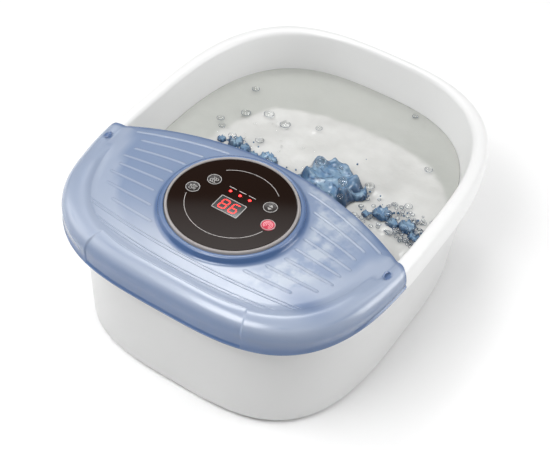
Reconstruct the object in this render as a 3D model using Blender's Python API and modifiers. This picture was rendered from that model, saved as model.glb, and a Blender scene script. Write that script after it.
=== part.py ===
"""Foot spa basin: a tub with a rolled rim in an outer shell, a lift-off splash cover round a control head,
free-turning massage rollers, and a bay under the floor with the heater, air pump and vibration motor.

Units are metres, +Z is up, and +Y is the end where the user sits. The origin lies on the ground, under the
middle of the whole object's box.
"""

import math
from collections import namedtuple

import bmesh
import bpy
from mathutils import Matrix, Vector

# ---------------------------------------------------------------- driving dimensions

RING_POINTS = 40  # points round each lofted outline
TURN_STEPS = 32  # facets round a large turned piece
SMALL_STEPS = 16  # facets round a small one
GAP = 0.0004  # clearance between pieces that rest on each other
RUNNING_GAP = 0.00008  # radial clearance of a piece that turns on a shaft

WIDEST_Y = 0.009  # the line across the tub where it is widest
GROUND_CLEARANCE = 0.003
RIM_TOP = 0.165
RIM_SKIRT_BOTTOM = 0.134
FLOOR_TOP = 0.048
WALL = 0.0026  # tub wall
SHELL_WALL = 0.0025

# A plan outline: half width, reach to the front and to the rear of WIDEST_Y, and how square each end is.
Plan = namedtuple("Plan", "half_width front rear front_power rear_power")
RIM_OUTER = Plan(0.1713, 0.218, 0.203, 3.35, 2.98)
RIM_INNER = Plan(0.1553, 0.192, 0.190, 3.2, 2.85)
FLOOR_EDGE = Plan(0.144, 0.181, 0.179, 3.0, 2.85)
SHELL_TOP = Plan(0.1655, 0.206, 0.196, 2.9, 2.8)
SHELL_FOOT = Plan(0.1557, 0.1967, 0.1905, 3.35, 2.95)
SHELL_TOP_Z = 0.1590
SHELL_FOOT_Z = 0.009

COVER_STAND_OFF = 0.0029  # the cover's outer face over the rim's
COVER_WALL = 0.0022
COVER_REAR_RADIUS = 0.320  # the cover's rear edge, bowed towards the user
COVER_REAR_APEX_Y = -0.016
COVER_DECK_Z = 0.169
COVER_SKIRT_FRONT_Z = 0.136
COVER_SKIRT_END_Z = 0.145

HEAD_Y = -0.0945  # centre of the round control head
HEAD_RADIUS = 0.062
HEAD_TOP = 0.168
HEAD_BORE = 0.057
BOARD_LEDGE_BORE = 0.054
BOARD_LEDGE_Z = 0.1646
BEZEL_RADIUS = 0.0642
BEZEL_TOP = 0.177
PANEL_RADIUS = 0.0599
PANEL_TOP = 0.1764
PANEL_BOTTOM = 0.1741
COLLAR_BORE = 0.0649

BUTTON_RADIUS = 0.007
BUTTON_TOP = 0.1769
BUTTON_PLACES = {
    "power_button": (0.042, -0.0985),
    "temperature_button": (0.0314, -0.0784),
    "heat_button": (-0.0314, -0.0784),
    "bubble_button": (-0.042, -0.0985),
}
INDICATOR_XS = (-0.0108, 0.0, 0.0108)
INDICATOR_Y = -0.0818
DISPLAY_CENTRE = (0.0, -0.0998)
DISPLAY_SIZE = (0.0272, 0.0180)
BOARD_TOP = 0.1666

BOSS_PLACES = [(sx * x, y) for sx in (-1, 1) for x, y in ((0.080, -0.135), (0.112, 0.020), (0.075, 0.140))]
FOOT_PLACES = {
    "rubber_foot_front_left": (-0.098, -0.140),
    "rubber_foot_front_right": (0.098, -0.140),
    "rubber_foot_rear_left": (-0.100, 0.135),
    "rubber_foot_rear_right": (0.100, 0.135),
}
PLATE_TOP = 0.0083  # top of the base plate

ROLLER_X = 0.084  # centre of each pair of rollers
ROLLER_YS = {"front": -0.031, "rear": 0.001}
ROLLER_AXIS_Z = 0.0642
ROLLER_RADIUS = 0.013
ROLLER_HALF_LENGTH = 0.031
AXLE_RADIUS = 0.003

WHITE = (0.86, 0.86, 0.85)
BLUE = (0.36, 0.52, 0.80)
BLACK = (0.02, 0.018, 0.018)


# ---------------------------------------------------------------- scene and materials


def clear_scene():
    for obj in list(bpy.data.objects):
        bpy.data.objects.remove(obj)


clear_scene()
PARTS = bpy.data.collections.new("foot_spa_basin")
HELPERS = bpy.data.collections.new("cutters")
for group in (PARTS, HELPERS):
    bpy.context.scene.collection.children.link(group)


def plastic(name, colour, roughness=0.35, metallic=0.0):
    material = bpy.data.materials.new(name)
    material.use_nodes = True
    shader = material.node_tree.nodes["Principled BSDF"]
    shader.inputs["Base Color"].default_value = (*colour, 1.0)
    shader.inputs["Roughness"].default_value = roughness
    shader.inputs["Metallic"].default_value = metallic
    return material


def finished(obj, material):
    """Puts a piece in the parts collection with its material."""
    obj.data.materials.clear()
    obj.data.materials.append(material)
    PARTS.objects.link(obj)
    return obj


def helper(obj):
    """Puts a cutter or a joining shape in the helpers collection, out of the render."""
    HELPERS.objects.link(obj)
    obj.hide_render = True
    obj.display_type = "WIRE"
    return obj


def mesh_object(name, bm, smooth=True):
    mesh = bpy.data.meshes.new(name)
    bm.to_mesh(mesh)
    bm.free()
    if smooth:
        mesh.shade_smooth()
        mesh.set_sharp_from_angle(angle=math.radians(35))
    return bpy.data.objects.new(name, mesh)


# ---------------------------------------------------------------- shapes


def boxes(name, *placed):
    """Boxes given as (centre, size), in one mesh."""
    bm = bmesh.new()
    for centre, size in placed:
        place = Matrix.Translation(centre) @ Matrix.Diagonal((*size, 1.0))
        bmesh.ops.create_cube(bm, size=1.0, matrix=place)
    return mesh_object(name, bm, smooth=False)


def cylinders(name, centres, radius, low, high, steps=SMALL_STEPS):
    """Upright cylinders from low to high at (x, y) places, in one mesh."""
    bm = bmesh.new()
    for x, y in centres:
        place = Matrix.Translation((x, y, (low + high) / 2))
        bmesh.ops.create_cone(bm, cap_ends=True, segments=steps, radius1=radius, radius2=radius,
                              depth=high - low, matrix=place)
    return mesh_object(name, bm)


def rods(name, ends, radius, steps=SMALL_STEPS):
    """Cylinders along X between (x0, x1) at (y, z), in one mesh."""
    bm = bmesh.new()
    quarter = Matrix.Rotation(math.radians(90), 4, "Y")
    for x0, x1, y, z in ends:
        place = Matrix.Translation(((x0 + x1) / 2, y, z)) @ quarter
        bmesh.ops.create_cone(bm, cap_ends=True, segments=steps, radius1=radius, radius2=radius,
                              depth=abs(x1 - x0), matrix=place)
    return mesh_object(name, bm)


def turned(name, profile, place, steps=SMALL_STEPS, closed=False, along_x=False):
    """A profile of (radius, height) points, running down its outer side, turned about an axis at place."""
    bm = bmesh.new()
    points = [bm.verts.new((radius, 0.0, height)) for radius, height in profile]
    pairs = list(zip(points, points[1:]))
    if closed:
        pairs.append((points[-1], points[0]))
    for pair in pairs:
        bm.edges.new(pair)
    obj = mesh_object(name, bm, smooth=False)
    obj.location = place
    if along_x:
        obj.rotation_euler = (0.0, math.radians(90), 0.0)
    screw = obj.modifiers.new("turn", "SCREW")
    screw.axis = "Z"
    screw.steps = screw.render_steps = steps
    screw.use_merge_vertices = True
    screw.merge_threshold = 0.00005
    screw.use_smooth_shade = True
    return obj


def plan_points(plan, inset=0.0):
    """Points round a plan outline, anticlockwise from +X, drawn in by inset."""
    points = []
    for index in range(RING_POINTS):
        angle = 2 * math.pi * index / RING_POINTS
        c, s = math.cos(angle), math.sin(angle)
        reach, power = (plan.front, plan.front_power) if s < 0 else (plan.rear, plan.rear_power)
        x = (plan.half_width - inset) * math.copysign(abs(c) ** (2 / power), c)
        y = WIDEST_Y + (reach - inset) * math.copysign(abs(s) ** (2 / power), s)
        points.append((x, y))
    return points


def blend(first, second, share):
    """The plan that is share of the way from the first to the second."""
    return Plan(*(a + (b - a) * share for a, b in zip(first, second)))


def ring(plan, height, inset=0.0):
    """One level of a loft. The height is a number or a function of y."""
    level = height if callable(height) else lambda y: height
    return [(x, y, level(y)) for x, y in plan_points(plan, inset)]


def loft(name, rings, first_cap=False, last_cap=False):
    """A surface through rings of equally many points. Going up the outside, its faces point out."""
    bm = bmesh.new()
    rows = [[bm.verts.new(point) for point in points] for points in rings]
    for low, high in zip(rows, rows[1:]):
        for index in range(len(low)):
            after = (index + 1) % len(low)
            bm.faces.new((low[index], low[after], high[after], high[index]))
    if first_cap:
        bm.faces.new(list(reversed(rows[0])))
    if last_cap:
        bm.faces.new(rows[-1])
    return mesh_object(name, bm)


def thicken(obj, thickness):
    """Gives an open surface its wall, on the side that its faces point away from."""
    wall = obj.modifiers.new("wall", "SOLIDIFY")
    wall.thickness = thickness
    wall.offset = -1.0
    wall.use_even_offset = True
    return obj


def combine(obj, other, operation):
    step = obj.modifiers.new(operation.lower(), "BOOLEAN")
    step.operation = operation
    step.solver = "EXACT"
    step.object = helper(other)
    return obj


def smooth_path(points, per_span=4):
    """Points on a Catmull-Rom curve through the given ones, straight where it starts and ends."""
    knots = [Vector(p) for p in points]
    knots = [knots[0], knots[0].lerp(knots[1], 0.3), *knots[1:-1], knots[-1].lerp(knots[-2], 0.3), knots[-1]]
    knots = [2 * knots[0] - knots[1], *knots, 2 * knots[-1] - knots[-2]]
    path = []
    for p0, p1, p2, p3 in zip(knots, knots[1:], knots[2:], knots[3:]):
        for step in range(per_span):
            t = step / per_span
            path.append(0.5 * (2 * p1 + (p2 - p0) * t + (2 * p0 - 5 * p1 + 4 * p2 - p3) * t ** 2
                               + (3 * p1 - p0 - 3 * p2 + p3) * t ** 3))
    path.append(knots[-2])
    return path


def tube(name, points, radius):
    """A round lead or hose along a smooth curve through the points."""
    curve = bpy.data.curves.new(name, "CURVE")
    curve.dimensions = "3D"
    curve.bevel_depth = radius
    curve.bevel_resolution = 1
    curve.use_fill_caps = True
    path = smooth_path(points)
    spline = curve.splines.new("POLY")
    spline.points.add(len(path) - 1)
    for knot, point in zip(spline.points, path):
        knot.co = (*point, 1.0)
    return bpy.data.objects.new(name, curve)


# ---------------------------------------------------------------- tub and shell


def column_rings(inset, low, head_bore, top):
    """Levels of the column that carries the control head. Its front follows the tub's front wall."""
    def level(z, half_width, rear, front, power):
        plan = Plan(half_width, 0.5 * (rear - front), 0.5 * (rear - front), power, power)
        shift = 0.5 * (rear + front) - WIDEST_Y
        return [(x, y + shift, height) for x, y, height in ring(plan, z, inset)]

    wall_front = WIDEST_Y - FLOOR_EDGE.front - WALL / 2
    rim_front = WIDEST_Y - RIM_INNER.front
    head_plan = Plan(head_bore, head_bore, head_bore, 2, 2)
    head_shift = HEAD_Y - WIDEST_Y

    def head(z, plan=head_plan):
        return [(x, y + head_shift, height) for x, y, height in ring(plan, z)]

    return [
        level(low, 0.038, -0.056, -0.160, 3),
        level(0.062, 0.038, -0.056, wall_front, 3),
        level(0.120, 0.044, -0.052, wall_front - 0.0068, 3),
        level(0.140, 0.052, -0.042, rim_front - 0.0002, 2.6),
        head(0.151),
        head(top),
    ]


def inner_basin():
    """The tub: rolled rim, skirt, walls and floor, with the hollow control column rising from the floor."""
    rim = [
        (0.03, RIM_SKIRT_BOTTOM), (0.0, 0.146), (0.03, 0.156), (0.14, 0.1615), (0.34, 0.1643),
        (0.58, RIM_TOP), (0.80, 0.164), (0.94, 0.161), (1.0, 0.156),
    ]
    rings = [ring(blend(RIM_OUTER, RIM_INNER, share), height) for share, height in rim]
    rings += [ring(blend(RIM_INNER, FLOOR_EDGE, 0.5), 0.109), ring(FLOOR_EDGE, 0.062)]
    floor_fillet = [(0.004, 0.054), (0.010, 0.050), (0.020, FLOOR_TOP)]
    rings += [ring(FLOOR_EDGE, height, inset) for inset, height in floor_fillet]
    tub = thicken(loft("inner_basin", rings, last_cap=True), WALL)

    column = loft("column_outside", column_rings(0.0, FLOOR_TOP - 0.004, HEAD_RADIUS, HEAD_TOP), True, True)
    combine(tub, column, "UNION")
    bosses = cylinders("screw_bosses", BOSS_PLACES, 0.005, PLATE_TOP + GAP, FLOOR_TOP - 0.001)
    combine(tub, bosses, "UNION")
    wiring_way = loft(
        "column_inside", column_rings(WALL, FLOOR_TOP - 0.010, BOARD_LEDGE_BORE, HEAD_TOP + 0.01), True, True)
    combine(tub, wiring_way, "DIFFERENCE")
    board_seat = cylinders(
        "board_seat", [(0.0, HEAD_Y)], HEAD_BORE, BOARD_LEDGE_Z, HEAD_TOP + 0.02, TURN_STEPS)
    combine(tub, board_seat, "DIFFERENCE")
    pilots = cylinders("pilot_holes", BOSS_PLACES, 0.0022, 0.0, 0.030, 8)
    combine(tub, pilots, "DIFFERENCE")
    nipple_holes = cylinders("nipple_holes", NIPPLE_PLACES, 0.0044, 0.040, 0.060, 12)
    return combine(tub, nipple_holes, "DIFFERENCE")


def outer_shell():
    """The housing's side wall, turned in under the base to carry the base plate."""
    fillet = [(0.016, 0.003), (0.006, 0.003), (0.0025, 0.0038), (0.0006, 0.0060), (0.0, SHELL_FOOT_Z)]
    rings = [ring(SHELL_FOOT, height, inset) for inset, height in fillet]
    for share in (0.33, 0.66, 1.0):
        height = SHELL_FOOT_Z + share * (SHELL_TOP_Z - SHELL_FOOT_Z)
        rings.append(ring(blend(SHELL_FOOT, SHELL_TOP, share), height))
    shell = thicken(loft("outer_shell", rings), SHELL_WALL)
    hole = rods("inlet_hole", [(-0.18, -0.13, INLET_Y, INLET_Z)], INLET_RADIUS + GAP, 20)
    return combine(shell, hole, "DIFFERENCE")


def base_plate():
    """The bottom cover: a step that drops into the shell's opening, with vents, screw and foot holes."""
    step_inset, lip_inset, step_z = 0.0165, 0.010, 0.0058
    rings = [
        ring(SHELL_FOOT, GROUND_CLEARANCE, step_inset), ring(SHELL_FOOT, step_z, step_inset),
        ring(SHELL_FOOT, step_z, lip_inset), ring(SHELL_FOOT, PLATE_TOP, lip_inset),
    ]
    plate = loft("base_plate", rings, True, True)
    combine(plate, cylinders("screw_ways", BOSS_PLACES, 0.0023, 0.0, 0.02, 12), "DIFFERENCE")
    combine(plate, cylinders("screw_recesses", BOSS_PLACES, 0.0042, 0.0, 0.0056), "DIFFERENCE")
    combine(plate, cylinders("foot_holes", FOOT_PLACES.values(), 0.0038, 0.0, 0.02, 12), "DIFFERENCE")
    slots = [((sx * 0.05, y, 0.005), (0.050, 0.003, 0.02)) for sx in (-1, 1) for y in (-0.03, -0.02, -0.01, 0.0)]
    return combine(plate, boxes("vent_slots", *slots), "DIFFERENCE")


def rubber_foot(name, place):
    profile = [(0, 0.0095), (0.0035, 0.0095), (0.0035, 0.0026), (0.0115, 0.0026), (0.0125, 0.0018),
               (0.0110, 0.0), (0, 0.0)]
    return turned(name, profile, (*place, 0.0))


def base_screw(name, place):
    profile = [(0, 0.024), (0.0018, 0.023), (0.0018, 0.0052), (0.0038, 0.0052), (0.0038, 0.0040),
               (0.0026, 0.0033), (0, 0.0033)]
    return turned(name, profile, (*place, 0.0), 12)


# ---------------------------------------------------------------- splash cover and control head


def cover_skirt(y):
    """Height of the cover's lower edge: lowest in front, rising towards its rear ends."""
    front, end = -0.212, -0.067
    share = min(1.0, max(0.0, (y - front) / (end - front)))
    return COVER_SKIRT_FRONT_Z + share * (COVER_SKIRT_END_Z - COVER_SKIRT_FRONT_Z)


def splash_cover():
    """The translucent guard over the front of the tub, with a collar round the control head."""
    outside = Plan(*(size + COVER_STAND_OFF for size in RIM_OUTER[:3]), *RIM_OUTER[3:])
    levels = [
        (0.0006, cover_skirt), (0.0, 0.150), (0.0006, 0.158), (0.0032, 0.1635), (0.0075, 0.1666),
        (0.013, 0.1679), (0.026, 0.1682), (0.060, COVER_DECK_Z),
    ]
    rings = [ring(outside, height, inset) for inset, height in levels]
    cover = thicken(loft("splash_cover", rings, last_cap=True), COVER_WALL)
    centre_y = COVER_REAR_APEX_Y - COVER_REAR_RADIUS
    reach = cylinders("cover_reach", [(0.0, centre_y)], COVER_REAR_RADIUS, 0.05, 0.30, 128)
    combine(cover, reach, "INTERSECT")
    collar = turned("collar", [(0.0660, 0.1748), (0.0668, 0.1742), (0.0684, 0.1684), (0.0684, 0.1672),
                               (0.0640, 0.1672), (0.0640, 0.1748)], (0, HEAD_Y, 0), 48, closed=True)
    combine(cover, collar, "UNION")
    bore = cylinders("collar_bore", [(0.0, HEAD_Y)], COLLAR_BORE, 0.10, 0.30, 48)
    return combine(cover, bore, "DIFFERENCE")


def panel_bezel():
    """The grey ring that clamps the black panel to the control head."""
    ledge_bore, seat_radius, skirt_bore = 0.0572, 0.0603, 0.0625
    profile = [
        (0.0612, BEZEL_TOP), (0.0632, 0.1766), (BEZEL_RADIUS, 0.1756), (BEZEL_RADIUS, 0.159),
        (skirt_bore, 0.159), (skirt_bore, 0.1699), (ledge_bore, 0.1699), (ledge_bore, 0.1738),
        (seat_radius, 0.1738), (seat_radius, 0.1764),
    ]
    return turned("panel_bezel", profile, (0, HEAD_Y, 0), TURN_STEPS, closed=True)


def panel_gasket():
    profile = [(0.0612, 0.1695), (0.0612, 0.1684), (0.0580, 0.1684), (0.0580, 0.1695)]
    return turned("panel_gasket", profile, (0, HEAD_Y, 0), TURN_STEPS, closed=True)


def control_panel():
    """The glossy black disc, pierced for the buttons, the display window and the three lamps."""
    disc = cylinders("control_panel", [(0.0, HEAD_Y)], PANEL_RADIUS, PANEL_BOTTOM, PANEL_TOP, 48)
    holes = cylinders("button_holes", BUTTON_PLACES.values(), BUTTON_RADIUS + 0.00035, 0.16, 0.19, 20)
    combine(disc, holes, "DIFFERENCE")
    lamps = [(x, INDICATOR_Y) for x in INDICATOR_XS]
    combine(disc, cylinders("lamp_holes", lamps, 0.0019, 0.16, 0.19, 10), "DIFFERENCE")
    window_size = (DISPLAY_SIZE[0] + 2 * GAP, DISPLAY_SIZE[1] + 2 * GAP, 0.03)
    window = boxes("window_hole", ((*DISPLAY_CENTRE, PANEL_TOP), window_size))
    return combine(disc, window, "DIFFERENCE")


def push_button(name, place):
    """A round key with a flange under the panel that keeps it in."""
    profile = [
        (0, BUTTON_TOP), (0.0062, BUTTON_TOP), (BUTTON_RADIUS, BUTTON_TOP - 0.0006),
        (BUTTON_RADIUS, 0.1737), (0.0082, 0.1737), (0.0082, 0.1726), (0, 0.1726),
    ]
    return turned(name, profile, (*place, 0.0), 20)


def tact_switch(name, place):
    body = boxes(name, ((*place, 0.16865), (0.006, 0.006, 0.0035)))
    plunger = cylinders(name + "_plunger", [place], 0.0017, 0.1690, 0.1714, 10)
    return combine(body, plunger, "UNION")


def indicator_lamp(name, place):
    profile = [(0, 0.1766), (0.0010, 0.1764), (0.0015, 0.1758), (0.0015, 0.1669), (0, 0.1669)]
    return turned(name, profile, (*place, 0.0), 10)


# ---------------------------------------------------------------- massage rollers


def roller_cradle(name, side):
    """A channel that clips to the floor and holds two axles."""
    x = side * ROLLER_X
    y = sum(ROLLER_YS.values()) / 2
    low, high = FLOOR_TOP + GAP, 0.0695
    cradle = boxes(name, ((x, y, (low + high) / 2), (0.078, 0.062, high - low)))
    inside = boxes(name + "_inside", ((x, y, low + 0.0318), (0.070, 0.080, 0.060)))
    combine(cradle, inside, "DIFFERENCE")
    ends = [(x - 0.05, x + 0.05, roller_y, ROLLER_AXIS_Z) for roller_y in ROLLER_YS.values()]
    return combine(cradle, rods(name + "_axle_holes", ends, AXLE_RADIUS + GAP), "DIFFERENCE")


def massage_roller(name, place):
    """A roller with three rounded massage rings, bored for its axle."""
    half, bore, waist = ROLLER_HALF_LENGTH, AXLE_RADIUS + RUNNING_GAP, 0.0095
    profile = [(bore, half), (waist, half)]
    for centre in (0.020, 0.0, -0.020):
        profile += [(waist, centre + 0.008), (ROLLER_RADIUS, centre + 0.003), (ROLLER_RADIUS, centre - 0.003),
                    (waist, centre - 0.008)]
    profile += [(waist, -half), (bore, -half)]
    return turned(name, profile, place, closed=True, along_x=True)


def roller_axle(name, place):
    x, y, z = place
    return rods(name, [(x - 0.038, x + 0.038, y, z)], AXLE_RADIUS, 12)


# ---------------------------------------------------------------- air, heat and vibration

NIPPLE_PLACES = [(-0.070, 0.060), (0.070, 0.060)]
MANIFOLD_Y = 0.060
MANIFOLD_Z = 0.036
PUMP_CENTRE = Vector((-0.080, -0.045, 0.0232))
HEATER_CENTRE = Vector((0.0, 0.112, 0.0422))
MOTOR_CENTRE = Vector((0.072, -0.035, 0.0262))
MOTOR_RADIUS = 0.014
WEIGHT_X = 0.1005
INLET_Y = WIDEST_Y
INLET_Z = 0.026
INLET_RADIUS = 0.008


def bubble_strip(name, side):
    """A perforated strip on the floor that lets the air out under the foot."""
    x = side * NIPPLE_PLACES[1][0]
    low = FLOOR_TOP + GAP
    strip = boxes(name, ((x, 0.075, low + 0.0018), (0.018, 0.100, 0.0036)))
    holes = [(x + dx, 0.037 + 0.0125 * step) for dx in (-0.0045, 0.0045) for step in range(7)]
    return combine(strip, cylinders(name + "_holes", holes, 0.0012, 0.04, 0.06, 6), "DIFFERENCE")


def air_manifold():
    """The cross pipe under the floor, with a nipple up to each bubble strip and one to the hose."""
    pipe = rods("air_manifold", [(-0.078, 0.078, MANIFOLD_Y, MANIFOLD_Z)], 0.005)
    combine(pipe, cylinders("up_nipples", NIPPLE_PLACES, 0.0036, MANIFOLD_Z, FLOOR_TOP, 12), "UNION")
    inlet = turned("hose_nipple", [(0, 0.0), (0.003, 0.0), (0.003, -0.016), (0, -0.016)],
                   (-0.060, MANIFOLD_Y, MANIFOLD_Z), 12)
    inlet.rotation_euler = (math.radians(-90), 0.0, 0.0)
    return combine(pipe, inlet, "UNION")


def air_pump():
    body = boxes("air_pump", (PUMP_CENTRE, (0.070, 0.046, 0.0286)))
    nozzle = turned("pump_nozzle", [(0, 0.034), (0.003, 0.034), (0.003, 0.0), (0, 0.0)], PUMP_CENTRE, 12)
    nozzle.rotation_euler = (math.radians(-90), 0.0, 0.0)
    return combine(body, nozzle, "UNION")


def air_hose():
    start = PUMP_CENTRE + Vector((0, 0.0345, 0))
    end = Vector((-0.060, MANIFOLD_Y - 0.0165, MANIFOLD_Z))
    along = Vector((0, 0.010, 0))
    return tube("air_hose", [start, start + along, end - along, end], 0.004)


def heater_plate():
    return boxes("heater_plate", (HEATER_CENTRE, (0.120, 0.070, 0.005)))


def thermostat():
    profile = [(0, 0.0093), (0.0085, 0.0093), (0.0085, 0.0), (0, 0.0)]
    return turned("thermostat", profile, HEATER_CENTRE - Vector((0, 0, 0.0123)))


def vibration_motor():
    """The motor with its shaft, lying along X."""
    profile = [(0, 0.036), (0.0016, 0.036), (0.0016, 0.0185), (0.005, 0.0185), (0.005, 0.017),
               (MOTOR_RADIUS, 0.017), (MOTOR_RADIUS, -0.017), (0, -0.017)]
    return turned("vibration_motor", profile, MOTOR_CENTRE, 20, along_x=True)


def motor_clamp():
    """A saddle on the base plate that holds the motor from both sides."""
    low = PLATE_TOP + GAP
    top = MOTOR_CENTRE.z + 0.006
    clamp = boxes("motor_clamp", ((MOTOR_CENTRE.x, MOTOR_CENTRE.y, (low + top) / 2), (0.022, 0.040, top - low)))
    ends = [(MOTOR_CENTRE.x - 0.03, MOTOR_CENTRE.x + 0.03, MOTOR_CENTRE.y, MOTOR_CENTRE.z)]
    combine(clamp, rods("motor_way", ends, MOTOR_RADIUS + GAP, 20), "DIFFERENCE")
    mouth = boxes("clamp_mouth", (MOTOR_CENTRE + Vector((0, 0, 0.016)), (0.03, 0.0255, 0.024)))
    return combine(clamp, mouth, "DIFFERENCE")


def eccentric_weight():
    """A half disc on the motor's shaft, heavy side down at rest."""
    weight = rods("eccentric_weight", [(WEIGHT_X - 0.004, WEIGHT_X + 0.004, 0.0, 0.0)], 0.012, 24)
    weight.location = (0.0, MOTOR_CENTRE.y, MOTOR_CENTRE.z)
    away = boxes("weight_relief", ((WEIGHT_X, MOTOR_CENTRE.y, MOTOR_CENTRE.z + 0.0140), (0.02, 0.03, 0.020)))
    combine(weight, away, "DIFFERENCE")
    ends = [(WEIGHT_X - 0.01, WEIGHT_X + 0.01, MOTOR_CENTRE.y, MOTOR_CENTRE.z)]
    return combine(weight, rods("shaft_hole", ends, 0.0016 + RUNNING_GAP, 16), "DIFFERENCE")


# ---------------------------------------------------------------- electrics

POWER_BOARD_Z = 0.0165


def power_board():
    """The mains board on two rails that stand on the base plate."""
    y = -0.110
    low = PLATE_TOP + GAP
    board = boxes("power_board", ((0, y, POWER_BOARD_Z), (0.094, 0.066, 0.0016)))
    rail_height = POWER_BOARD_Z - low
    rails = [((side * 0.042, y, low + rail_height / 2), (0.004, 0.060, rail_height)) for side in (-1, 1)]
    return combine(board, boxes("board_rails", *rails), "UNION")


def transformer():
    low = POWER_BOARD_Z + 0.0008 + GAP
    return boxes("transformer", ((0.020, -0.115, low + 0.011), (0.034, 0.036, 0.022)))


def power_inlet():
    """The grommet in the side wall where the mains lead comes in."""
    profile = [(0.0045, 0.0), (INLET_RADIUS, 0.0), (INLET_RADIUS, -0.0052), (0.011, -0.0052),
               (0.011, -0.0082), (0.0045, -0.0082)]
    bored = turned("power_inlet", profile, (-0.1525, INLET_Y, INLET_Z), 20, closed=True)
    bored.rotation_euler = (0.0, math.radians(90), 0.0)
    return bored


def leads():
    """Wires that stay inside: each runs from one piece to another, clear of the rest."""
    board_top = POWER_BOARD_Z + 0.0008 + GAP
    routes = {
        "panel_cable": ([(0.0, -0.090, 0.1644), (0.004, -0.092, 0.150), (-0.008, -0.100, 0.090),
                         (-0.014, -0.104, 0.040), (-0.014, -0.104, board_top + 0.002)], 0.0020),
        "heater_lead": ([(0.048, -0.083, 0.0130), (0.036, -0.060, 0.0120), (0.020, 0.0, 0.0120),
                         (0.016, 0.060, 0.0120), (0.024, 0.092, 0.024), (0.030, 0.098, 0.0375)], 0.0016),
        "motor_lead": ([(0.052, -0.095, 0.0130), (0.060, -0.080, 0.0130), (0.052, -0.050, 0.016),
                        (0.046, -0.038, 0.022), (0.0535, -0.035, 0.0262)], 0.0014),
        "pump_lead": ([(-0.052, -0.095, 0.0130), (-0.062, -0.082, 0.0150), (-0.070, -0.0705, 0.0200)], 0.0014),
        "mains_lead": ([(-0.1480, INLET_Y, INLET_Z), (-0.138, 0.002, 0.0235), (-0.130, -0.035, 0.0150),
                        (-0.122, -0.075, 0.0125), (-0.095, -0.105, 0.0125), (-0.052, -0.118, 0.0125)], 0.0030),
    }
    return [tube(name, points, radius) for name, (points, radius) in routes.items()]


# ---------------------------------------------------------------- assembly


def build():
    white = plastic("white_gloss_plastic", WHITE, 0.25)
    blue = plastic("blue_translucent_plastic", BLUE, 0.25)
    grey = plastic("grey_bezel_plastic", (0.62, 0.62, 0.63), 0.35)
    black = plastic("black_panel", BLACK, 0.12)
    red = plastic("red_button", (0.62, 0.04, 0.06), 0.3)
    rubber = plastic("dark_rubber", (0.05, 0.05, 0.05), 0.8)
    steel = plastic("steel", (0.60, 0.60, 0.62), 0.3, 1.0)
    aluminium = plastic("aluminium", (0.75, 0.75, 0.76), 0.4, 1.0)
    copper_board = plastic("circuit_board", (0.05, 0.25, 0.12), 0.5)
    lens = plastic("display_lens", (0.05, 0.055, 0.055), 0.1)
    lamp = plastic("red_lamp", (0.80, 0.05, 0.04), 0.2)
    housing = plastic("dark_plastic", (0.12, 0.12, 0.13), 0.5)
    silicone = plastic("clear_silicone", (0.75, 0.78, 0.80), 0.5)

    finished(inner_basin(), white)
    finished(outer_shell(), white)
    finished(base_plate(), white)
    finished(splash_cover(), blue)
    for name, place in FOOT_PLACES.items():
        finished(rubber_foot(name, place), rubber)
    for number, place in enumerate(BOSS_PLACES, 1):
        finished(base_screw(f"base_screw_{number}", place), steel)

    finished(panel_bezel(), grey)
    finished(panel_gasket(), rubber)
    finished(control_panel(), black)
    for name, place in BUTTON_PLACES.items():
        finished(push_button(name, place), red if name == "power_button" else black)
        finished(tact_switch(name.replace("button", "switch"), place), housing)
    for number, x in enumerate(INDICATOR_XS, 1):
        finished(indicator_lamp(f"indicator_lamp_{number}", (x, INDICATOR_Y)), lamp)
    window_z = (PANEL_BOTTOM + GAP + PANEL_TOP) / 2
    window_height = PANEL_TOP - PANEL_BOTTOM - GAP
    finished(boxes("display_window", ((*DISPLAY_CENTRE, window_z), (*DISPLAY_SIZE, window_height))), lens)
    finished(boxes("display_module", ((*DISPLAY_CENTRE, 0.1704), (0.026, 0.017, 0.0070))), housing)
    board = cylinders("control_board", [(0.0, HEAD_Y)], 0.0564, BOARD_LEDGE_Z + GAP, BOARD_TOP, TURN_STEPS)
    finished(board, copper_board)

    for side_name, side in (("left", -1), ("right", 1)):
        finished(roller_cradle(f"roller_cradle_{side_name}", side), blue)
        finished(bubble_strip(f"bubble_strip_{side_name}", side), blue)
        for place_name, y in ROLLER_YS.items():
            place = (side * ROLLER_X, y, ROLLER_AXIS_Z)
            finished(massage_roller(f"massage_roller_{side_name}_{place_name}", place), blue)
            finished(roller_axle(f"roller_axle_{side_name}_{place_name}", place), steel)

    finished(air_manifold(), silicone)
    finished(air_pump(), housing)
    finished(air_hose(), silicone)
    finished(heater_plate(), aluminium)
    finished(thermostat(), housing)
    finished(vibration_motor(), steel)
    finished(motor_clamp(), housing)
    finished(eccentric_weight(), steel)
    finished(power_board(), copper_board)
    finished(transformer(), housing)
    finished(power_inlet(), rubber)
    for lead in leads():
        finished(lead, housing)


build()
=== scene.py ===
"""Looks of the foot spa basin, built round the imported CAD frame.

Units are metres, +Z is up, and +Y is the end where the user sits. Outlines repeat the CAD's driving
dimensions; places and radii of the control head, buttons and rollers are read from the frame.
"""

import math
import random
from collections import namedtuple

import bmesh
import bpy
import numpy
from mathutils import Matrix, Vector, noise


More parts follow.
